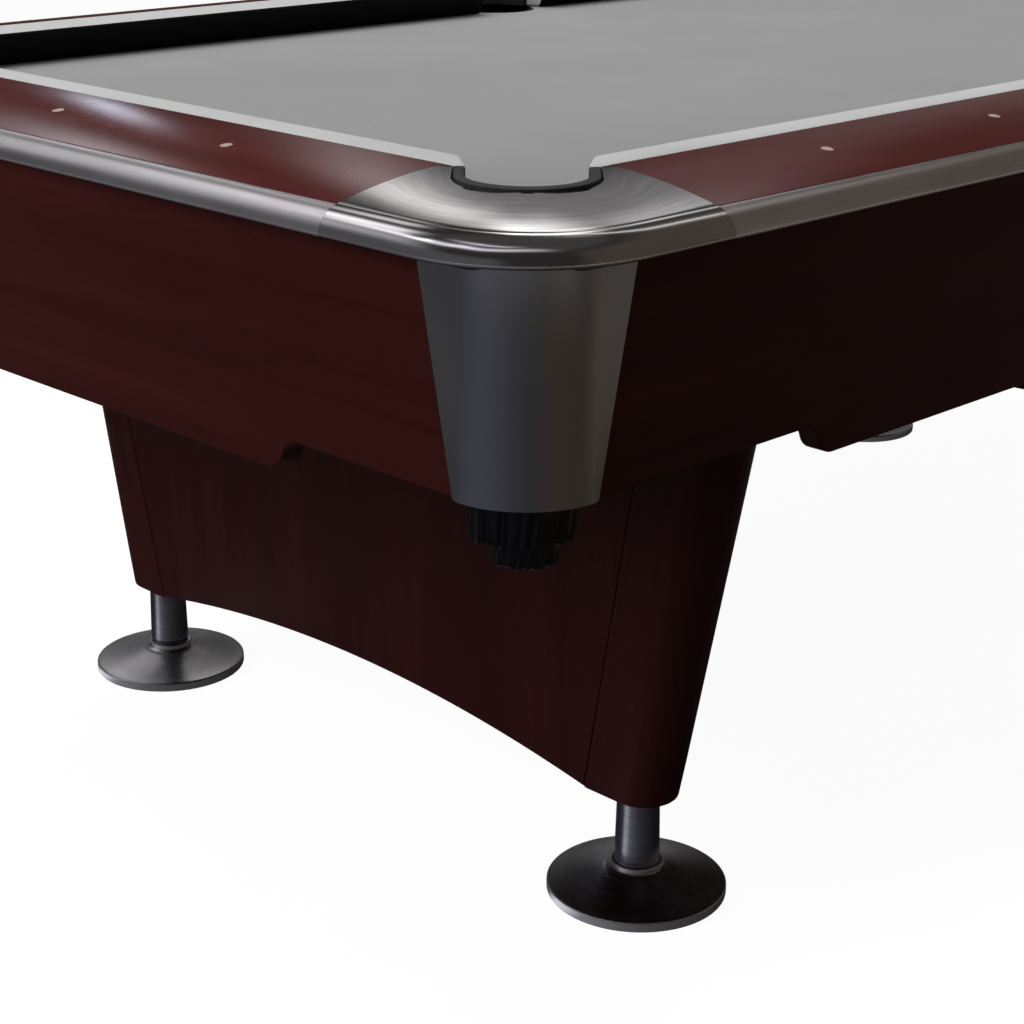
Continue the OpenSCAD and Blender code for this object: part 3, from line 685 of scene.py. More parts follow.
def cushion_section():
    back = CUSHION_W - GAP
    top = crown(CUSHION_W)
    nose = arc(NOSE_R, TOP - NOSE_DROP, NOSE_R, math.radians(88), math.radians(225), 18)
    heel = [(0.0280, BED + 0.0004), (back, BED + 0.0005)]
    crest = [(back, top - 0.0014), (back - 0.0004, top - 0.0006), (back - 0.0014, top - 0.0003), (0.036, top - 0.0002),
             (0.026, top - 0.0008), (0.016, top - 0.0016), (0.008, top - 0.0025), (0.0036, TOP - 0.0034)]
    undercut = [(0.012, TOP - 0.0176), (0.0215, TOP - 0.0285), (0.0228, TOP - 0.031), (0.0268, BED + 0.0009)]
    return heel + crest + nose + undercut


def cushion_rings(near_end, far_end, steps=40):
    """Rings in (along, u, z) between two cuts, given as the place along the rail for each u."""
    section = cushion_section()
    middle = Vector((sum(p[0] for p in section), sum(p[1] for p in section))) / len(section)
    length = far_end(0) - near_end(0)
    near = [(0.0, 0.0042), (0.0003, 0.0030), (0.0010, 0.0018), (0.0022, 0.0008), (0.0044, 0.0)]
    stations = [(d / length, s) for d, s in near]
    stations += [(i / steps, 0.0) for i in range(1, steps)]
    stations += [(1 - d / length, s) for d, s in near[::-1]]
    rings = []
    for t, shrink in stations:
        ring = []
        for u, z in section:
            away = Vector((u, z)) - middle
            u2, z2 = middle + away * (1 - shrink / max(away.length, 0.006))
            ring.append((near_end(u2) + (far_end(u2) - near_end(u2)) * t, u2, z2))
        rings.append(ring)
    return rings


def corner_cut(u):
    """Distance of a cushion's end from the corner: a slanted facing, then a seat against the liner's end."""
    seat_u = (POCKET_R - LINER_T + LINER_END) / math.sqrt(2)
    seat = (POCKET_R - LINER_T - LINER_END) / math.sqrt(2) + 1.4 * GAP
    if u < seat_u:
        return CORNER_NOSE + (seat - CORNER_NOSE) * u / seat_u
    return seat + u - seat_u


def side_cut(u):
    return SIDE_NOSE + (SIDE_HEEL - SIDE_NOSE) * u / CUSHION_W


print("points in a cushion's section:", len(cushion_section()))

# %% Six cushions
# faces past this point of the section, the nose's underside and the undercut, take the near-black copy: painted shade
PAINTED_SHADE_FROM = 10


def add_cushion(name, rings, node_name):
    mesh = ring_mesh(name, rings, sharp=50)
    made = piece(name, mesh, cushion_cloth_light, stands_for=[node_name])
    mesh.materials.append(cushion_cloth_painted_shade)
    size = len(rings[0])
    for face in mesh.polygons[: (len(rings) - 1) * size]:
        face.material_index = int(face.index % size > PAINTED_SHADE_FROM)
    return made


long_cushion = [[(a, -(HALF_W + u), z) for a, u, z in ring]
                for ring in cushion_rings(lambda u: -HALF_L + corner_cut(u), lambda u: -side_cut(u))]
for quarter, signs in QUARTERS.items():
    add_cushion("cushion_long_" + quarter, mirrored(long_cushion, signs), "long_cushion_" + quarter)
end_cushion = [[(-(HALF_L + u), a, z) for a, u, z in ring]
               for ring in cushion_rings(lambda u: -HALF_W + corner_cut(u), lambda u: HALF_W - corner_cut(u))]
for end, sign in ENDS.items():
    add_cushion("cushion_end_" + end, mirrored(end_cushion, (sign, -1)), "end_cushion_" + end)
print("cushions: 6")

# %% [markdown]
# ## Wooden rails and their metal trims
# A rail is a lacquered mahogany plank with a shallow crown. Outside it stands a metal trim that
# rounds the edge down to an upright face with a small lip. Both are straight sweeps of a section,
# and the small bevels where wood meets metal catch the thin lines of light of the real joint.

# %% Sections of wood and trim
BEVEL = 0.0006
wood_section = ([(CUSHION_W + GAP, BED), (CUSHION_W + GAP, crown(CUSHION_W) - BEVEL)]
                + [(u, crown(u)) for u in (CUSHION_W + BEVEL + (WOOD_W - 2 * BEVEL) * i / 24 for i in range(25))]
                + [(WOOD_OUT, crown(WOOD_OUT) - BEVEL), (WOOD_OUT, BED)])
trim_edge = bullnose()
trim_in, trim_top = WOOD_OUT + 0.0001, trim_edge[0][1]
trim_section = [(trim_in, BED), (trim_in, trim_top - 0.0008), (LIP_IN, trim_top - 0.0003)] + trim_edge[1:]


def sweep_long(section, start, end, steps=12):
    return [[(start + (end - start) * i / steps, -(HALF_W + u), z) for u, z in section] for i in range(steps + 1)]


def sweep_end(section, start, end, steps=12):
    return [[(-(HALF_L + u), start + (end - start) * i / steps, z) for u, z in section] for i in range(steps + 1)]


LONG_SPAN = (-HALF_L + SEAM + GAP / 2, -SIDE_SEAM - GAP / 2)
END_SPAN = (-HALF_W + SEAM + GAP / 2, HALF_W - SEAM - GAP / 2)
print("points in the sections of wood and trim:", len(wood_section), len(trim_section))

# %% Rails and trims in place
for index, (quarter, signs) in enumerate(QUARTERS.items()):
    name, rings = "wood_rail_long_" + quarter, mirrored(sweep_long(wood_section, *LONG_SPAN), signs)
    piece(name, ring_mesh(name, rings, uv_start=(index * 1.7, index * 0.31)),
          rail_mahogany, stands_for=["long_rail_" + quarter])
    name, rings = "trim_long_" + quarter, mirrored(sweep_long(trim_section, *LONG_SPAN), signs)
    piece(name, ring_mesh(name, rings, uv_start=(index * 1.3, 0)),
          trim_metal, stands_for=["rail_trims"])
for index, (end, sign) in enumerate(ENDS.items()):
    name, rings = "wood_rail_end_" + end, mirrored(sweep_end(wood_section, *END_SPAN), (sign, -1))
    piece(name, ring_mesh(name, rings, uv_start=(8 + index * 2.1, 0.17)),
          rail_mahogany, stands_for=["end_rail_" + end])
    name, rings = "trim_end_" + end, mirrored(sweep_end(trim_section, *END_SPAN), (sign, -1))
    piece(name, ring_mesh(name, rings, uv_start=(6 + index, 0)),
          trim_metal, stands_for=["rail_trims"])
print("rails and trims: 12")

# %% [markdown]
# ## Corner and side castings
# The castings carry the rail's section round the corner in metal, with the pocket bored through
# them. The top is brushed, the rounded edge polished, and a fine crease runs between the two.
# Each ring of the mesh is the rail's section at one place on the path, and its inner end stops
# where the pocket begins, so the bore needs no boolean. The bend starts and ends gently, because
# a plain arc would break the reflections where it meets the straight arms.

# %% Section of a casting that starts at the pocket


EASE = [(0.0, 0.0012), (0.0003, 0.0004), (0.0011, 0.0)]  # the softened rim of the pocket: outwards, down
CROWN_STEPS, NOSE_STEPS = 18, 26


def casting_section(inner):
    start, span = EASE[-1][0], WOOD_OUT - 0.0009 - inner - EASE[-1][0]
    top = [(inner + out, crown(inner + out) - down) for out, down in EASE]
    top += [(u, crown(u)) for u in (inner + start + span * i / CROWN_STEPS for i in range(1, CROWN_STEPS + 1))]
    crease = [(WOOD_OUT - 0.0003, crown(WOOD_OUT) - 0.00012)]
    return [(inner, BED)] + top + crease + bullnose(NOSE_STEPS)


# the last rows of the section, under the lip, take the darker cover metal: painted shade
PAINTED_SHADE_ROWS = 9
POLISHED_FROM = len(casting_section(0.06)) - len(bullnose(NOSE_STEPS)) - 1


def corner_inner(x):
    """Inner edge of the straight arm, x outwards from the table's nose line corner towards the middle."""
    turn = POCKET_R / math.sqrt(2) - CORNER_OFF
    if x <= turn:
        return CORNER_OFF + math.sqrt(POCKET_R ** 2 - (x + CORNER_OFF) ** 2)
    return max(CORNER_OFF + POCKET_R / math.sqrt(2) - (x - turn), CUSHION_W)


print("points in a casting's section:", len(casting_section(0.06)))

# %% A bend that starts and ends gently
BEND_EASE = 0.055


def turning(radius, ease, steps=120):
    """Points (x, y, heading) of a quarter turn whose bend grows and fades over the length ease."""
    total = (math.pi / 2 - ease / radius) * radius + 2 * ease
    x = y = heading = 0.0
    points = [(x, y, heading)]
    for i in range(steps):
        s_mid = total * (i + 0.5) / steps
        heading_mid = heading + min(s_mid / ease, (total - s_mid) / ease, 1.0) / radius * total / steps / 2
        x, y = x + math.cos(heading_mid) * total / steps, y + math.sin(heading_mid) * total / steps
        heading += min(s_mid / ease, (total - s_mid) / ease, 1.0) / radius * total / steps
        points.append((x, y, heading))
    return points


def fitted_turn(ease):
    """The turn whose outermost point on the diagonal is that of the plain round corner."""
    wanted = CORNER_R * (math.sqrt(2) - 1)
    low, high = 0.05, CORNER_R
    for _ in range(40):
        radius = (low + high) / 2
        turn = turning(radius, ease)
        size, middle = turn[-1][0], turn[len(turn) // 2]
        cut = math.hypot(size - middle[0], middle[1])
        low, high = (radius, high) if cut < wanted else (low, radius)
    return turn


print("the bend takes", round(fitted_turn(BEND_EASE)[-1][0], 3), "m of each side")

# %% Rings of a corner casting


def corner_path():
    """Rings of the front left casting, from the long rail round to the end rail."""
    turn = POCKET_R / math.sqrt(2) - CORNER_OFF
    flat = turn + CORNER_OFF + POCKET_R / math.sqrt(2) - CUSHION_W
    bend = fitted_turn(BEND_EASE)
    start = -RAIL_OUT + bend[-1][0]
    spans = [(start, turn, 14), (turn, flat, 6), (flat, SEAM - GAP / 2, 3)]
    marks = sorted({round(a + (b - a) * i / steps, 7) for a, b, steps in spans for i in range(steps + 1)})
    arm = [[(-HALF_L + x, -(HALF_W + u), z) for u, z in casting_section(corner_inner(x))] for x in reversed(marks)]
    rings = []
    for px, py, heading in bend[2:-2:2]:
        edge = Vector((start - px, -RAIL_OUT + py))
        inward = Vector((math.sin(heading), math.cos(heading)))
        to_pocket = Vector((-CORNER_OFF, -CORNER_OFF)) - edge
        middle = to_pocket.dot(inward)
        inner = RAIL_OUT - (middle - math.sqrt(POCKET_R ** 2 - max(to_pocket.length_squared - middle ** 2, 0)))
        rings.append([(-HALF_L + edge.x + inward.x * (RAIL_OUT - u), -HALF_W + edge.y + inward.y * (RAIL_OUT - u), z)
                      for u, z in casting_section(inner)])
    other = [[(-HALF_L + y + HALF_W, -HALF_W + x + HALF_L, z) for x, y, z in ring] for ring in reversed(arm)]
    return arm + rings + other


print("rings in a corner casting:", len(corner_path()))

# %% Corner castings in place


def finishes_with_painted_shade(mesh, rings, start, second, under):
    """From start on, the section's faces take the second finish, and those under the lip take a third, darker finish as
    painted shade.
    """
    size = len(rings[0])
    mesh.materials.append(second)
    mesh.materials.append(under)
    for face in mesh.polygons[: (len(rings) - 1) * size]:
        strip = face.index % size
        if start <= strip < size - 1:
            face.material_index = 1 if strip < size - PAINTED_SHADE_ROWS else 2


corner_rings = corner_path()
for quarter, signs in QUARTERS.items():
    rings = mirrored(corner_rings, signs)
    mesh = ring_mesh("casting_corner_" + quarter, rings, sharp=28)
    piece("casting_corner_" + quarter, mesh, casting_metal, stands_for=["corner_casting_" + quarter])
    finishes_with_painted_shade(mesh, rings, POLISHED_FROM, bullnose_metal, cover_metal)
print("corner castings:", len(QUARTERS))

# %% Side castings in place


def side_path():
    mouth = [POCKET_R * math.sin(math.pi / 2 * i / 18) for i in range(18, 0, -1)]
    marks = [SIDE_SEAM - GAP / 2, 0.08, 0.068, POCKET_R + 0.0001, *mouth]
    marks = [-x for x in marks] + [0.0] + marks[::-1]
    rings = []
    for x in marks:
        inner = SIDE_BACK + math.sqrt(max(POCKET_R ** 2 - x * x, 0)) if abs(x) <= POCKET_R else CUSHION_W
        rings.append([(x, -(HALF_W + u), z) for u, z in casting_section(inner)])
    return rings


side_rings = side_path()
for side, sign in SIDES.items():
    rings = mirrored(side_rings, (-1, sign))
    mesh = ring_mesh("casting_side_" + side, rings, sharp=28)
    piece("casting_side_" + side, mesh, casting_metal, stands_for=["side_casting_" + side])
    finishes_with_painted_shade(mesh, rings, POLISHED_FROM, bullnose_metal, cover_metal)
print("rings in a side casting:", len(side_rings))

# %% [markdown]
# ## Pocket liners
# A rubber strip bent to a U lines each pocket, so that balls meet something soft. It is a strip
# with a slightly domed top, swept along the inner wall of the pocket.

# %% Sweep a section along a path on the floor plan


def swept(path, section):
    """path has (x, y, normal x, normal y) and section has (distance along the normal, z)."""
    return [[(x + nx * w, y + ny * w, z) for w, z in section] for x, y, nx, ny in path]


LINER_GAP = 0.0011
LINER_BACK, LINER_W = 0.006, LINER_T - LINER_GAP


def liner_path(centre, direction, reach):
    """Runs along the outer wall; the normals point into the pocket."""
    r = POCKET_R - LINER_GAP
    ahead = Vector((math.cos(direction), math.sin(direction)))
    across = Vector((-math.sin(direction), math.cos(direction)))
    path = []
    for i in range(7):
        p = Vector(centre) + across * r + ahead * reach * (1 - i / 6)
        path.append((*p, *-across))
    for i in range(1, 48):
        t = math.pi * i / 48
        n = across * math.cos(t) - ahead * math.sin(t)
        inner = across * math.cos(t) * (POCKET_R - LINER_T) - ahead * (math.sin(t) * (POCKET_R - LINER_T) - LINER_BACK)
        thick = (n * r - inner) / LINER_W
        path.append((*(Vector(centre) + n * r), *-thick))
    for i in range(7):
        p = Vector(centre) - across * r + ahead * reach * i / 6
        path.append((*p, *across))
    return path


rim_z, liner_low = TOP - GAP, BED + 0.0005
BACK_EDGE, FRONT_EDGE = 0.0012, 0.0022
back_edge = [(BACK_EDGE - BACK_EDGE * math.cos(t), rim_z - BACK_EDGE + BACK_EDGE * math.sin(t))
             for t in (0.4, 0.8, 1.2, 1.5)]
front_edge = [(LINER_W - FRONT_EDGE + FRONT_EDGE * math.sin(t), rim_z - FRONT_EDGE + 0.0021 * math.cos(t))
              for t in (0.1, 0.5, 1.0, 1.5)]
liner_section = [(0, liner_low), (0, rim_z - BACK_EDGE), *back_edge, (LINER_W / 2, rim_z),
                 *front_edge, (LINER_W, liner_low)]
corner_bend = liner_path((-HALF_L - CORNER_OFF, -HALF_W - CORNER_OFF), math.pi / 4, CORNER_BACK - LINER_END)
corner_liner = swept(corner_bend, liner_section)
side_liner = swept(liner_path((0, -HALF_W - SIDE_BACK), math.pi / 2, SIDE_BACK - CUSHION_W), liner_section)
print("points in a liner's section:", len(liner_section))

# %% Liners in place
for quarter, signs in QUARTERS.items():
    mesh = ring_mesh("liner_corner_" + quarter, mirrored(corner_liner, signs))
    piece("liner_corner_" + quarter, mesh, liner_rubber, stands_for=["pocket_liners"])
for side, sign in SIDES.items():
    mesh = ring_mesh("liner_side_" + side, mirrored(side_liner, (-1, sign)))
    piece("liner_side_" + side, mesh, liner_rubber, stands_for=["pocket_liners"])
print("liners: 6")

# %% [markdown]
# ## Pocket baskets
# Under each pocket hangs a bag of soft black leather that narrows to a gathered end. The leather
# falls in uneven pleats that get deeper towards the bottom. The bag is a closed shell: an outer
# wall that goes down in rings and an inner one that comes back up, both with the same pleats.

# %% Shape of a basket
BASKET_TOP, BASKET_LOW, GATHER_R = 0.0575, 0.045, 0.029
BASKET_H, GATHER_H, WALL, SLATE_T = 0.274, 0.026, 0.004, 0.022


def pleat(turn, depth, wave):
    """Share by which the radius changes at a turn round the bag and a depth from 0 to 1."""
    twist = turn + 0.35 * depth + 0.12 * math.sin(3 * turn + wave[0])
    folds = 0.55 * math.sin(31 * twist + wave[0]) + 0.45 * math.sin(43 * twist + wave[2])
    broad = math.sin(5 * turn + wave[1]) * 0.5 + 0.5
    return -(0.012 + 0.075 * depth ** 1.5) * (0.5 - 0.5 * folds) - 0.03 * depth * broad


def basket_rings(cx, cy, seed, around=288):
    rng = random.Random(seed)
    wave = (rng.uniform(0, 6), rng.uniform(0, 6), rng.uniform(0, 6))
    body = BASKET_H - GATHER_H

    def radius(down):
        return BASKET_TOP + (BASKET_LOW - BASKET_TOP) * max(0, (down - SLATE_T) / (body - SLATE_T))

    def ring(down, r, depth, frill=0.0, lean=0.0):
        points = []
        for t in (2 * math.pi * i / around for i in range(around)):
            change = pleat(t, depth, wave)
            drop = frill * (math.sin(9 * t + wave[1]) * 0.6 + math.sin(17 * t + wave[2]) * 0.4)
            x = cx + r * (1 + change) * math.cos(t) - lean * 0.7
            points.append((x, cy + r * (1 + change) * math.sin(t) + lean * 0.7, BED - down + drop))
        return points

    heights = [0.0, 0.010, SLATE_T] + [SLATE_T + (body - SLATE_T) * i / 24 for i in range(1, 25)]
    deep = [max(0, (h - SLATE_T) / (body - SLATE_T)) for h in heights]
    outer = [ring(h, radius(h) * 0.998, d, 0.0022 * d ** 4, 0.003 * d ** 2) for h, d in zip(heights, deep)]
    under = [ring(body + 0.0010, BASKET_LOW * 0.93, 1, 0.0018, 0.003),
             ring(body - 0.002, BASKET_LOW * 0.80, 0.8, 0.001, 0.002), ring(body - 0.003, GATHER_R * 0.94, 0.6)]
    tail = [ring(body + (GATHER_H - 0.004) * i / 7, GATHER_R * (0.93 + 0.07 * i / 7), 0.4 + 0.6 * i / 7, 0.0010 * i / 7)
            for i in range(1, 8)]
    tail += [ring(BASKET_H - 0.0025, GATHER_R * 0.93, 1, 0.0012),
             ring(BASKET_H - 0.0040, GATHER_R * 0.72, 0.7), ring(BASKET_H - 0.0020, GATHER_R * 0.3, 0.3)]
    inner = [ring(h, radius(h) - WALL, d * 0.6) for h, d in zip(heights[:-1], deep)]
    floor_rings = [ring(body - WALL - 0.002, 0.004, 0.0), ring(body - WALL - 0.001, BASKET_LOW - 2 * WALL, 0.4)]
    return outer + under + tail, floor_rings + inner[::-1]


def basket_mesh(name, cx, cy, seed):
    outside, inside = basket_rings(cx, cy, seed)
    return ring_mesh(name, inside + outside, caps=True, sharp=75)


print("a basket hangs", BASKET_H, "m down from the bed")

# %% Baskets in place
for index, (quarter, signs) in enumerate(QUARTERS.items()):
    name = "basket_corner_" + quarter
    mesh = basket_mesh(name, signs[0] * (HALF_L + CORNER_OFF), signs[1] * (HALF_W + CORNER_OFF), 11 + index)
    piece(name, mesh, basket_leather, stands_for=["corner_basket_" + quarter])
for index, (side, sign) in enumerate(SIDES.items()):
    name = "basket_side_" + side
    piece(name, basket_mesh(name, 0, sign * (HALF_W + SIDE_BACK), 31 + index), basket_leather,
          stands_for=["side_basket_" + side])
print("baskets: 6")

# %% [markdown]
# ## Aprons
# The aprons are boards of dark mahogany laminate under the rails. Their lower edge steps down in
# an S curve to a deeper middle. A board is an outline with thickness: a few rings of the same
# outline, the outer ones drawn in a little, give it its rounded edges.

# %% A board from its outline


def board_rings(points, thickness, bevel, place):
    """place turns (a, b, depth) into a point; depth 0 is the face that is seen."""
    turns = [math.pi / 2 * i / 3 for i in range(4)]
    steps = [(bevel * (1 - math.sin(t)), bevel * (1 - math.cos(t))) for t in turns]
    steps += [(d, thickness - depth) for d, depth in steps[::-1]]
    return [[place(a, b, depth) for a, b in inset(points, d)] for d, depth in steps]


def apron_outline(half_span, start, reach):
    step_h, step_l, low, high = 0.0285, 0.040, BED - 0.1775, BED
    turn = 2 * math.atan(step_h / step_l)
    r = step_l / (2 * math.sin(turn))
    half = [(-half_span - reach, high), (-half_span - reach, low)]
    half += arc(-half_span + start, low - r, r, math.pi / 2, math.pi / 2 - turn, 14)
    half += arc(-half_span + start + step_l, low - step_h + r, r, math.pi * 1.5 - turn, math.pi * 1.5, 14)[1:]
    return half + [(-a, b) for a, b in half[::-1]]


APRON_FACE, APRON_T, COVER_ROUND = 0.156, 0.022, 0.0893
long_apron = board_rings(apron_outline(HALF_L, 0.170, COVER_ROUND), APRON_T, 0.0016,
                         lambda a, b, depth: (a, -HALF_W - APRON_FACE + depth, b))
end_apron = board_rings(apron_outline(HALF_W, 0.102, COVER_ROUND), APRON_T, 0.0016,
                        lambda a, b, depth: (-HALF_L - APRON_FACE + depth, a, b))
for index, (side, sign) in enumerate(SIDES.items()):
    mesh = ring_mesh("apron_long_" + side, mirrored(long_apron, (-1, sign)),
                     flat_uv=lambda v: (v[0], v[2] + v[1]), uv_start=(index * 3.1, 0.2))
    piece("apron_long_" + side, mesh, apron_mahogany, stands_for=["long_apron_" + side])
for index, (end, sign) in enumerate(ENDS.items()):
    mesh = ring_mesh("apron_end_" + end, mirrored(end_apron, (sign, -1)),
                     flat_uv=lambda v: (v[1], v[2] + v[0]), uv_start=(index * 3.3 + 1.2, 0.4))
    piece("apron_end_" + end, mesh, apron_mahogany, stands_for=["end_apron_" + end])
print("aprons: 4")

# %% [markdown]
# ## Corner covers
# A bent sheet of dark satin metal closes each corner between the aprons. It has a rounded middle
# and two flat wings, and the wings get narrower towards the bottom. The shell is a row of
# upright strips from one wing to the other, each with an outer and an inner wall.

# %% Shape of a cover
COVER_OUT, COVER_R, COVER_T = 0.1613, 0.072, 0.005
COVER_TOP, COVER_FOOT, COVER_LOW = 0.044, 0.082, BED - 0.1775
COVER_LIFT, LEVELS = 0.0042, 8  # the top follows the casting's lip round the corner


def wing_edge(z):
    share = (BED - z) / (BED - COVER_LOW)
    return COVER_TOP + (COVER_FOOT - COVER_TOP) * share


def cover_columns():
    """Rings of the front left cover, from the long side's wing round to the end side's."""
    centre = COVER_OUT - COVER_R
    levels = [COVER_LOW + (BED - COVER_LOW) * i / LEVELS for i in range(LEVELS + 1)]
    columns = []
    for t in (0.0, 0.02, 0.25, 0.5, 0.75, 0.97, 1.0):
        fall = 0.0022 * (1 - t) + (0.0006 if t == 0.0 else 0)
        ring = []
        for z, out in [(z, True) for z in levels] + [(z, False) for z in levels[::-1]]:
            x = wing_edge(z) + (centre - wing_edge(z)) * t
            ring.append((-x, -(COVER_OUT - fall if out else COVER_OUT - COVER_T), z))
        columns.append(ring)
    for i in range(1, 32):
        t = math.pi / 2 * i / 32
        lift = COVER_LIFT * min(max((math.sin(2 * t) - 0.45) / 0.3, 0.0), 1.0)
        columns.append([(-centre - r * math.sin(t), -centre - r * math.cos(t), z + (lift if z == BED else 0.0))
                        for z, r in [(z, COVER_R) for z in levels] + [(z, COVER_R - COVER_T) for z in levels[::-1]]])
    columns += [[(y, x, z) for x, y, z in ring] for ring in columns[6::-1]]
    return [[(-HALF_L + x, -HALF_W + y, z) for x, y, z in ring] for ring in columns]


cover = cover_columns()
for quarter, signs in QUARTERS.items():
    mesh = ring_mesh("cover_corner_" + quarter, mirrored(cover, signs), sharp=12)
    piece("cover_corner_" + quarter, mesh, cover_metal, stands_for=["corner_cover_" + quarter])
print("covers: 4")

# %% [markdown]
# ## Pedestals
# Each pedestal has two legs that lean outwards and get thicker towards the top. Their outer side
# is half round. A board with an arched lower edge closes the space between them on each face.
# A leg is lofted through rings from the socket of its foot to its top; the socket is real, so
# that the foot can rise into it.

# %% Section of a leg
PEDESTAL_X, LEG_LOW, LEG_HIGH, LEG_T, LEG_W, LEG_IN = -0.7246, 0.110, 0.6075, 0.072, 0.084, 0.057
LEG_RISE = LEG_HIGH - LEG_LOW
LEG_SHIFT = LEG_RISE * math.tan(math.radians(11))
LEG_SPREAD = LEG_RISE * math.tan(math.radians(1.8))
FOOT_Y = -HALF_W + LEG_IN + LEG_W / 2
SOCKET_R, SOCKET_TOP = 0.0225, 0.134


def leg_section(width, draw_in=0.0):
    """Points round a leg, starting at the inner face and going by its half round outer side."""
    r, w, edge = width / 2 - draw_in, LEG_W - 2 * draw_in, 0.0012
    half = [(0.0, w), (r * 0.5, w), (r - edge, w), (r - edge * 0.3, w - edge * 0.3), (r, w - edge)]
    half += [(r, w - edge - (w - edge - r) * i / 6) for i in range(1, 6)]
    half += [(r * math.cos(t), r - r * math.sin(t)) for t in (math.pi / 2 * i / 18 for i in range(18))]
    whole = half + [(0.0, 0.0)] + [(-a, b) for a, b in half[:0:-1]]
    return [(a, b + draw_in) for a, b in whole]


def leg_rings():
    rings = []
    foot = leg_section(LEG_T)
    angles = [math.atan2(b - LEG_W / 2, a) for a, b in foot]
    for r, z in ((SOCKET_R, SOCKET_TOP), (SOCKET_R, LEG_LOW + 0.0012), (SOCKET_R + 0.0012, LEG_LOW)):
        rings.append([(PEDESTAL_X + r * math.cos(t), FOOT_Y + r * math.sin(t), z) for t in angles])
    for i in range(4):
        t = math.pi / 2 * i / 3
        section = leg_section(LEG_T, 0.0025 * (1 - math.sin(t)))
        rings.append([(PEDESTAL_X + a, -HALF_W + LEG_IN + b, LEG_LOW + 0.0025 * (1 - math.cos(t))) for a, b in section])
    for i in range(1, 13):
        share = i / 12
        face_y = -HALF_W + LEG_IN - LEG_SHIFT * share
        section = leg_section(LEG_T + 2 * LEG_SPREAD * share)
        rings.append([(PEDESTAL_X + a, face_y + b, LEG_LOW + LEG_RISE * share) for a, b in section])
    return rings


leg = leg_rings()
for index, (quarter, signs) in enumerate(QUARTERS.items()):
    mesh = ring_mesh("leg_wood_" + quarter, mirrored(leg, signs), sharp=28, uv_start=(index * 0.9, index * 0.23))
    piece("leg_wood_" + quarter, mesh, pedestal_mahogany, stands_for=["leg_" + quarter])
print("legs: 4, rings in each:", len(leg))

# %% Arched boards between the legs
PANEL_T, ARCH, SEAM_GAP = 0.020, 0.034, 0.0008
LEAN = math.radians(1.8)


def panel_outline():
    foot = HALF_W - LEG_IN - LEG_W - SEAM_GAP
    top, high = foot + LEG_SHIFT, LEG_RISE - PANEL_T * math.sin(LEAN) - GAP
    r = (foot ** 2 + ARCH ** 2) / (2 * ARCH)
    turn = math.asin(foot / r)
    low = LEG_RISE * 0.004
    return arc(0, low + ARCH - r, r, math.pi / 2 + turn, math.pi / 2 - turn, 48) + [(top, high), (-top, high)]


def panel_place(a, b, depth):
    across = -LEG_T / 2 - b * math.sin(LEAN) + depth * math.cos(LEAN)
    return (PEDESTAL_X + across, a, LEG_LOW + b * math.cos(LEAN) + depth * math.sin(LEAN))


panel = board_rings(panel_outline(), PANEL_T, 0.0014, panel_place)
inner_panel = [[(2 * PEDESTAL_X - x, y, z) for x, y, z in ring] for ring in panel]
for index, (end, sign) in enumerate(ENDS.items()):
    boards = (("panel_outer_" + end, panel, "outer_panel_" + end), ("panel_inner_" + end, inner_panel, "inner_panels"))
    for name, rings, node_name in boards:
        mesh = ring_mesh(name, mirrored(rings, (sign, -1)),
                         flat_uv=lambda v: (v[2], v[1] + v[0]), uv_start=(0.7 + index, 0.5))
        piece(name, mesh, pedestal_mahogany, stands_for=[node_name])
print("boards: 4")

# %% [markdown]
# ## Levelling feet
# Under each leg stands a turned steel disc with a cone and a hub, and a smooth round stem rises
# from the hub into the leg. Both are turned on a lathe, so both are a profile that goes round an
# axis. The profile has real radii at its edges, because these catch the light.

# %% Turn a profile


def turned(name, profile, cx, cy, around=96):
    """U goes round the axis, as the lines that the lathe leaves do."""
    turns = [2 * math.pi * i / around for i in range(around)]
    verts = [(cx + r * math.cos(t), cy + r * math.sin(t), z) for r, z in profile for t in turns]
    faces = ring_faces(len(profile), around, True, False)
    along = running([(r, z, 0) for r, z in profile])
    round_u = [j / around * 0.4 for j in range(around + 1)]
    uvs = [[(u, low), (next_u, low), (next_u, high), (u, high)]
           for low, high in zip(along, along[1:]) for u, next_u in zip(round_u, round_u[1:])]
    for face in (tuple(range(around - 1, -1, -1)), tuple(range((len(profile) - 1) * around, len(profile) * around))):
        faces.append(face)
        uvs.append([(0.0, 0.0)] * around)
    return finish_mesh(name, verts, faces, uvs, 30)


DISC_R, RIM_H, HUB_H, HUB_R, CONE_H = 0.0915, 0.011, 0.034, 0.0265, 0.0272
RIM_R, HUB_EDGE, BORE_R, BORE_LOW = 0.0022, 0.0016, 0.01205, 0.0160
rim = (arc(DISC_R - RIM_R, RIM_R, RIM_R, -math.pi / 2, 0, 4)[1:]
       + arc(DISC_R - RIM_R, RIM_H - RIM_R, RIM_R, 0, math.pi * 0.42, 5))
cone = [(DISC_R - 0.004, RIM_H + 0.0002), (0.070, RIM_H + 0.0042), (0.050, RIM_H + 0.0090), (0.034, CONE_H - 0.0022),
        (HUB_R + 0.0015, CONE_H - 0.0002), (HUB_R, CONE_H + 0.0012)]
hub = arc(HUB_R - HUB_EDGE, HUB_H - HUB_EDGE, HUB_EDGE, 0, math.pi / 2, 4)
bore = [(BORE_R, HUB_H), (BORE_R, BORE_LOW), (0.008, BORE_LOW)]
disc_profile = [(0.008, 0.0), (DISC_R - RIM_R, 0.0)] + rim + cone + hub + bore

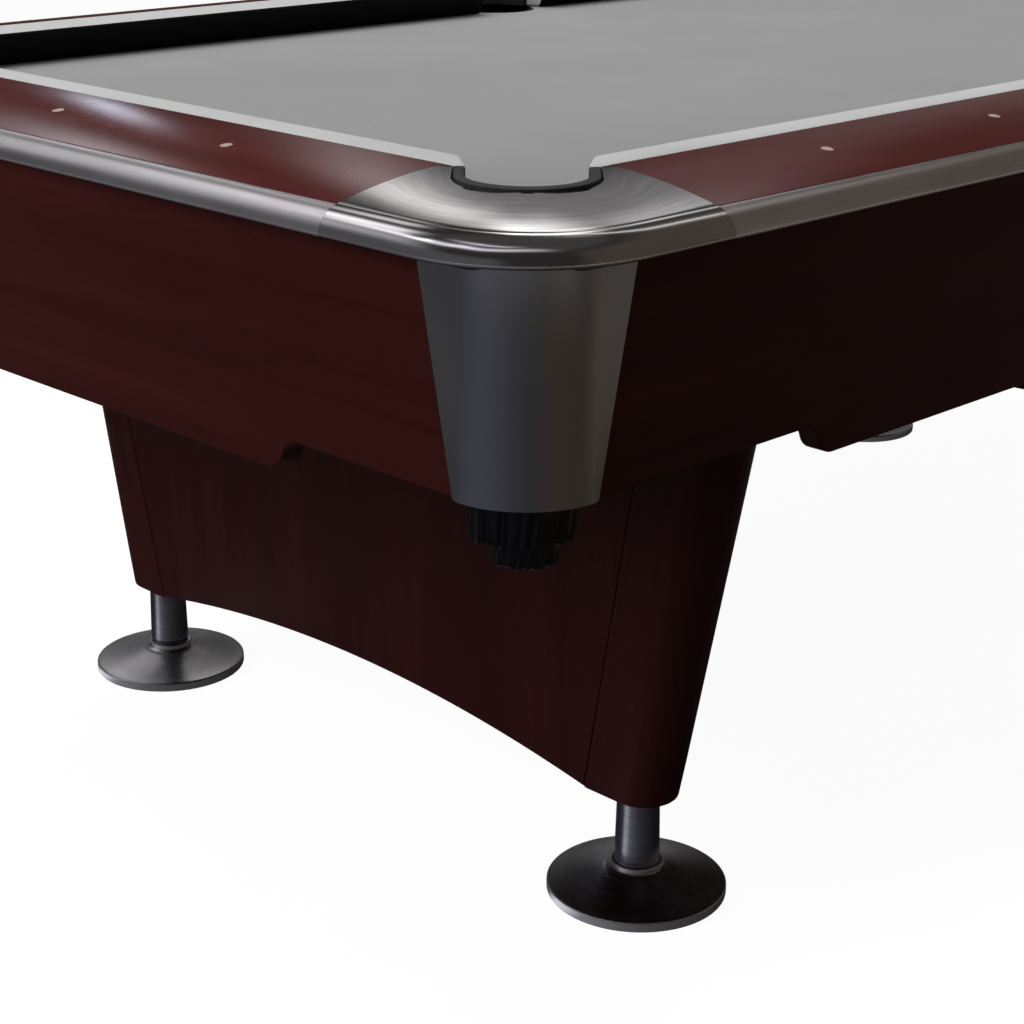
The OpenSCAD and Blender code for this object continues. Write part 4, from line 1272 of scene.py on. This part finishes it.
SPINDLE_LOW, SPINDLE_HIGH, STEM_R, STEM_HIGH = HUB_H - 0.018, 0.195, 0.0230, 0.112
collar = arc(0.0223, HUB_H + 0.0014, 0.0012, -math.pi / 2, math.pi / 2, 6)[1:]
waist, shoulder = (0.0218, HUB_H + 0.0034), (STEM_R, HUB_H + 0.0046)
taper = [(STEM_R - 0.0015 * i / 6, HUB_H + 0.0046 + 0.0720 * i / 6) for i in range(1, 7)]
stem_profile = ([(0.004, SPINDLE_LOW), (0.012, SPINDLE_LOW), (0.012, HUB_H + 0.0002), (0.0221, HUB_H + 0.0002)]
                + collar + [waist, shoulder] + taper
                + [(0.0207, STEM_HIGH), (0.010, STEM_HIGH), (0.010, SPINDLE_HIGH), (0.004, SPINDLE_HIGH)])
for quarter, signs in QUARTERS.items():
    cx, cy = -signs[0] * PEDESTAL_X, -signs[1] * FOOT_Y
    piece("disc_foot_" + quarter, turned("disc_foot_" + quarter, disc_profile, cx, cy), disc_metal, "disc_" + quarter,
          ["foot_disc_" + quarter])
    piece("stem_foot_" + quarter, turned("stem_foot_" + quarter, stem_profile, cx, cy), stem_metal, "stem_" + quarter,
          ["foot_stem_" + quarter])
print("feet: 4 discs and 4 stems")

# %% [markdown]
# ## Studio
# The table stands on a wide white floor. Seen by the camera, by metal and through glass the floor
# is white, but it still darkens under the table, because part of its white comes from a diffuse
# shader. For all other light it is a mid grey, so that it doesn't light the table from below.

# %% Floor


def white_rays(tree):
    """1 for the rays that see a white studio: from the camera, off metal and through glass."""
    rays = node(tree, "ShaderNodeLightPath").outputs
    shiny = maths(tree, "MAXIMUM", rays["Is Glossy Ray"], rays["Is Transmission Ray"])
    return maths(tree, "MAXIMUM", rays["Is Camera Ray"], shiny)


floor_mesh = bpy.data.meshes.new("floor")
floor_mesh.from_pydata([(-40, -40, 0), (40, -40, 0), (40, 40, 0), (-40, 40, 0)], [], [(0, 1, 2, 3)])
floor = bpy.data.objects.new("floor", floor_mesh)
scene.collection.objects.link(floor)
floor_white = bpy.data.materials.new("floor_white")
floor_white.use_nodes = True
tree = floor_white.node_tree
tree.nodes.remove(tree.nodes["Principled BSDF"])
speckled = noise(tree, coordinate(tree, "Object"), 3.0, 3)
paper_tone = ramp(tree, speckled, [(0.3, (0.17, 0.17, 0.17)), (0.7, (0.20, 0.20, 0.20))])
paper = node(tree, "ShaderNodeBsdfDiffuse", {"Color": paper_tone})
glow = node(tree, "ShaderNodeEmission", Color=(1, 1, 1, 1), Strength=0.95)
bright = node(tree, "ShaderNodeAddShader", {0: paper.outputs[0], 1: glow.outputs[0]})
dull = node(tree, "ShaderNodeBsdfDiffuse", Color=(0.25, 0.25, 0.25, 1))
choose = node(tree, "ShaderNodeMixShader", {0: white_rays(tree), 1: dull.outputs[0], 2: bright.outputs[0]})
tree.links.new(choose.outputs[0], tree.nodes["Material Output"].inputs["Surface"])
floor_mesh.materials.append(floor_white)
print("floor:", [round(x, 1) for x in floor.dimensions[:2]], "m")

# %% World
world = bpy.data.worlds.new("studio")
world.use_nodes = True
scene.world = world
air = world.node_tree
air.nodes["Background"].inputs["Color"].default_value = (1, 1, 1, 1)
strength = maths(air, "ADD", maths(air, "MULTIPLY", white_rays(air), 0.92), 0.08)
air.links.new(strength, air.nodes["Background"].inputs["Strength"])
print("the world is white to look at, and gives nearly no light")

# %% [markdown]
# ## Lamps
# Two large soft lamps give all the diffuse light: one overhead, and one on the left that lights
# the end apron and leaves the long apron dark, as in the photograph. Metal and lacquer don't see
# the lamps themselves. They see a room of their own, made in the next step.

# %% Lamps


def area_lamp(name, place, aim, size, power):
    data = bpy.data.lights.new(name, "AREA")
    data.shape, data.size, data.size_y, data.energy = "RECTANGLE", size[0], size[1], power
    lamp = bpy.data.objects.new(name, data)
    lamp.location = place
    lamp.rotation_euler = (Vector(aim) - Vector(place)).to_track_quat("-Z", "Y").to_euler()
    lamp.visible_glossy = False
    scene.collection.objects.link(lamp)
    return lamp


area_lamp("overhead", (0.2, 0.4, 3.4), (0.0, 0.0, 0.7), (4.2, 3.0), 100)
area_lamp("left_window", (-3.6, 0.6, 1.9), (-0.9, -0.1, 0.6), (2.6, 1.6), 42)
print("lamps:", len(bpy.data.lights))

# %% [markdown]
# ## What the metal sees
# Polished metal looks like metal only if it has something to reflect. A dome round the near corner
# stands for the showroom: a dark room with long soft tubes of light, a glow on the left, a brown
# side on the right and one small window. Each light stands in the direction that the metal of the
# photograph reflects. A low screen round the table does the same lower down. Glowing sheets on the
# floor, darker towards the table, are painted shade of the floor under it, and each foot's sheet has
# a bright sector as a painted highlight on its stem. Only glossy rays see them, so they give cloth
# and wood no diffuse light.

# %% Brightness of the dome by direction


def soft_span(x, low, high, edge):
    def rise(v):
        v = min(max(v, 0.0), 1.0)
        return v * v * (3 - 2 * v)
    return rise((x - low) / edge + 0.5) * rise((high - x) / edge + 0.5)


def spot(az, el, az0, el0, wide, tall):
    return math.exp(-((az - az0) / wide) ** 2 - ((el - el0) / tall) ** 2)


def tube(az, el, path, width):
    """Share of a long soft light that runs through the points (azimuth, elevation, brightness) of a path."""
    best = 0.0
    for (a0, e0, b0), (a1, e1, b1) in zip(path, path[1:]):
        squeeze = math.cos(math.radians((e0 + e1) / 2))
        along, up = (a1 - a0) * squeeze, e1 - e0
        x, y = (az - a0) * squeeze, el - e0
        t = min(max((x * along + y * up) / (along * along + up * up), 0.0), 1.0)
        off = math.hypot(x - along * t, y - up * t)
        if off < 3 * width:
            best = max(best, (b0 + (b1 - b0) * t) * math.exp(-(off / width) ** 2))
    return best


print("share of a spot at its middle:", spot(60, 13, 60, 13, 1, 2))

# %% Lights by direction
NOSE_LINE = [(94, 42, 0.2), (104, 39.3, 1.4), (113, 37.5, 2.2), (119, 39, 2.2), (124, 42.5, 1.9)]
TURN_LINE = [(124, 42.5, 1.8), (137, 46, 1.7), (154.5, 52, 2.0), (177, 53, 1.4), (196, 57.1, 1.2), (223, 61.5, 1.0),
             (240, 61, 0.7), (256, 57, 0.1)]
UPPER_LINE = [(118, 58, 0.2), (150, 66, 1.4), (190, 70, 0.9), (220, 74, 0.1)]
EDGE_LINE = [(63, 35, 0.5), (69, 38, 1.5), (73, 39, 1.4), (78, 40, 0.4)]
SWEEP = [(51, 12, 0.4), (52.5, 18, 0.6), (54.2, 22.8, 1.4), (54.6, 25, 1.5), (54, 27, 1.65), (53.1, 29.1, 1.9),
         (51.4, 33.8, 1.25), (48.8, 37.5, 1.2), (45, 45.7, 1.9), (35.6, 48.4, 2.2), (17.9, 48.9, 1.8), (10, 45, 1.5),
         (2.9, 40.9, 1.5), (-3, 38, 0.5)]


def brown_side(az):
    return max(soft_span(az, -70, 20, 16), soft_span(az, 270, 380, 20))


LIGHTS = [  # colour, then its share at an azimuth and elevation
    # the dark room, its ceiling and the dim wall on the left
    ((0.042, 0.040, 0.039), lambda az, el: 1.0),
    ((0.05, 0.045, 0.045), lambda az, el: soft_span(el, 55, 100, 12)),
    ((0.08, 0.08, 0.09), lambda az, el: soft_span(az, 120, 205, 20) * soft_span(el, -20, 26, 10)),
    # the glow that the left trims show, and the tubes along the polished edge
    ((0.72, 0.71, 0.74), lambda az, el: spot(az, el, 113, 28, 19, 7.5)),
    ((1.7, 1.68, 1.7), lambda az, el: spot(az, el, 97, 40, 7, 6)),
    ((1.0, 1.0, 1.04), lambda az, el: tube(az, el, NOSE_LINE, 2.4)),
    ((1.0, 1.0, 1.08), lambda az, el: tube(az, el, TURN_LINE, 4.2)),
    ((1.0, 1.0, 1.08), lambda az, el: tube(az, el, UPPER_LINE, 2.5)),
    # the panel and the tube that sweep over the brushed top of the casting
    ((1.7, 1.67, 1.66), lambda az, el: soft_span(az, 31, 49, 6) * soft_span(el, 37.5, 49, 3)),
    ((0.35, 0.345, 0.345), lambda az, el: soft_span(az, 34, 50, 6) * soft_span(el, 34, 42, 4)),
    ((1.0, 0.98, 0.98), lambda az, el: tube(az, el, EDGE_LINE, 2.0)),
    ((1.0, 0.98, 0.97), lambda az, el: tube(az, el, SWEEP, 1.8)),
    ((0.21, 0.207, 0.21), lambda az, el: soft_span(az, 30, 53, 8) * soft_span(el, 17, 44, 12)),
    # small lights behind the right arm
    ((1.0, 0.98, 0.98), lambda az, el: spot(az, el, 30.5, 29.5, 3.5, 3.5)),
    ((0.4, 0.39, 0.39), lambda az, el: spot(az, el, 24, 57, 12, 4)),
    ((0.12, 0.115, 0.115), lambda az, el: soft_span(az, 14, 36, 10) * soft_span(el, -8, 15, 6)),
    # the bluish window and the haze on the lacquer of the left rail
    ((4.6, 4.8, 5.8), lambda az, el: spot(az, el, 60.1, 13.3, 0.9, 1.7)),
    ((3.2, 3.2, 3.35), lambda az, el: spot(az, el, 67, 23.5, 2.2, 2.6)),
    ((0.7, 0.7, 0.73), lambda az, el: spot(az, el, 73, 26, 4.5, 9)),
    # the brown side
    ((0.056, 0.040, 0.028), lambda az, el: brown_side(az) * soft_span(el, -20, 46, 16)),
]


def brightness(az, el):
    az = (az + 30) % 360 - 30
    return [sum(colour[k] * share for colour, share in ((c, f(az, el)) for c, f in LIGHTS)) for k in range(3)]


print("lights in the dome:", len(LIGHTS))

# %% The dome
NEAR_CORNER = Vector((-1.12, -0.62, 0.78))
DOME_R = 6.0


def glowing_mesh(name, grid, colours, looped):
    """A grid of points that glows with one colour for each point, for glossy rays only."""
    size = len(grid[0])
    mesh = bpy.data.meshes.new(name)
    faces = [(i * size + j, i * size + (j + 1) % size, (i + 1) * size + (j + 1) % size, (i + 1) * size + j)
             for i in range(len(grid) - 1) for j in range(size if looped else size - 1)]
    mesh.from_pydata([tuple(p) for row in grid for p in row], [], faces)
    paint = mesh.color_attributes.new("glow", "FLOAT_COLOR", "POINT")
    paint.data.foreach_set("color", [x for row in colours for c in row for x in (*c, 1.0)])
    material = bpy.data.materials.new(name)
    material.use_nodes = True
    tree = material.node_tree
    tree.nodes.remove(tree.nodes["Principled BSDF"])
    colour = node(tree, "ShaderNodeAttribute", attribute_name="glow")
    shine = node(tree, "ShaderNodeEmission", {"Color": colour.outputs["Color"]}, Strength=1.0)
    tree.links.new(shine.outputs[0], tree.nodes["Material Output"].inputs["Surface"])
    mesh.materials.append(material)
    made = bpy.data.objects.new(name, mesh)
    scene.collection.objects.link(made)
    made.visible_camera = made.visible_diffuse = made.visible_shadow = False
    made.visible_transmission = made.visible_volume_scatter = False
    return made


def towards(az, el):
    a, e = math.radians(az), math.radians(el)
    return Vector((math.cos(a) * math.cos(e), math.sin(a) * math.cos(e), math.sin(e)))


azimuths = [1.5 * i for i in range(240)]
elevations = [-8.0 + 1.0 * i for i in range(99)]
glowing_mesh("reflected_room", [[NEAR_CORNER + towards(a, min(e, 90)) * DOME_R for a in azimuths] for e in elevations],
             [[brightness(a, e) for a in azimuths] for e in elevations], True)
print("reflected room:", len(azimuths) * len(elevations), "points")

# %% The low screen and the painted floor shade
SCREEN = [(0, (0.2, 0.2, 0.2)), (110, (0.2, 0.2, 0.2)), (150, (0.15, 0.15, 0.16)), (163, (0.145, 0.145, 0.16)),
          (176, (0.175, 0.175, 0.23)), (190, (0.19, 0.19, 0.25)), (205, (0.14, 0.14, 0.165)), (218, (0.10, 0.10, 0.10)),
          (241, (0.128, 0.092, 0.068)), (262, (0.10, 0.08, 0.065)), (276, (0.17, 0.14, 0.12)), (288, (0.2, 0.16, 0.13)),
          (310, (0.2, 0.2, 0.2)), (360, (0.2, 0.2, 0.2))]


def at_angle(az, stops):
    """Colour between the stops (azimuth, colour) of a circle."""
    for (a, low), (b, high) in zip(stops, stops[1:]):
        if a <= az <= b:
            return [x + (y - x) * (az - a) / (b - a) for x, y in zip(low, high)]


screen_points, angles = [], [3.0 * i for i in range(120)]
for az in angles:
    way = Vector((math.cos(math.radians(az)), math.sin(math.radians(az))))
    reach = min(2.75 / max(abs(way.x), 1e-6), 2.25 / max(abs(way.y), 1e-6), 2.9)
    screen_points.append(way * reach)
glowing_mesh("low_screen", [[(p.x, p.y, z) for p in screen_points] for z in (0.002, 0.15, 0.3, 0.45)],
             [[[x * k for x in at_angle(az, SCREEN)] for az in angles] for k in (1, 1, 0.8, 0.5)], True)
# a glowing sheet on the floor, darker towards the table: painted shade of the floor under it, seen only by glossy rays
glowing_mesh("painted_floor_shade", [[(p.x * r, p.y * r, 0.001) for p in screen_points] for r in (0.02, 0.3, 0.5, 0.7, 0.85, 1.0)],
             [[[x * k for x in at_angle(az, SCREEN)] for az in angles] for k in (0.4, 0.4, 0.5, 0.8, 1, 1)], True)

# by each foot a dark glowing sheet as painted floor shade, with a bright sector near 160 degrees as a painted highlight
# on the stem
STEM_LIGHT = [(0, 0.015), (120, 0.05), (144, 0.12), (156, 1.0), (168, 0.9), (182, 0.3), (212, 0.14), (232, 0.09),
              (260, 0.06), (300, 0.03), (360, 0.015)]
greys = [at_angle(az, [(a, (x,)) for a, x in STEM_LIGHT])[0] for az in angles]
ways = [Vector((math.cos(math.radians(az)), math.sin(math.radians(az)))) for az in angles]
for name, signs in QUARTERS.items():
    foot = Vector((signs[0] * -PEDESTAL_X, signs[1] * -FOOT_Y))
    grid = [[(foot.x + r * way.x, foot.y + r * way.y, 0.0014) for way in ways] for r in (0.03, 0.12, 0.32)]
    glowing_mesh("painted_floor_shade_" + name, grid, [[(g, g, g * 1.1) for g in greys]] * 3, True)
print("screen and mats:", 2 + len(QUARTERS))

# %% Finish
bpy.context.view_layer.update()
scene.view_settings.view_transform = "Standard"
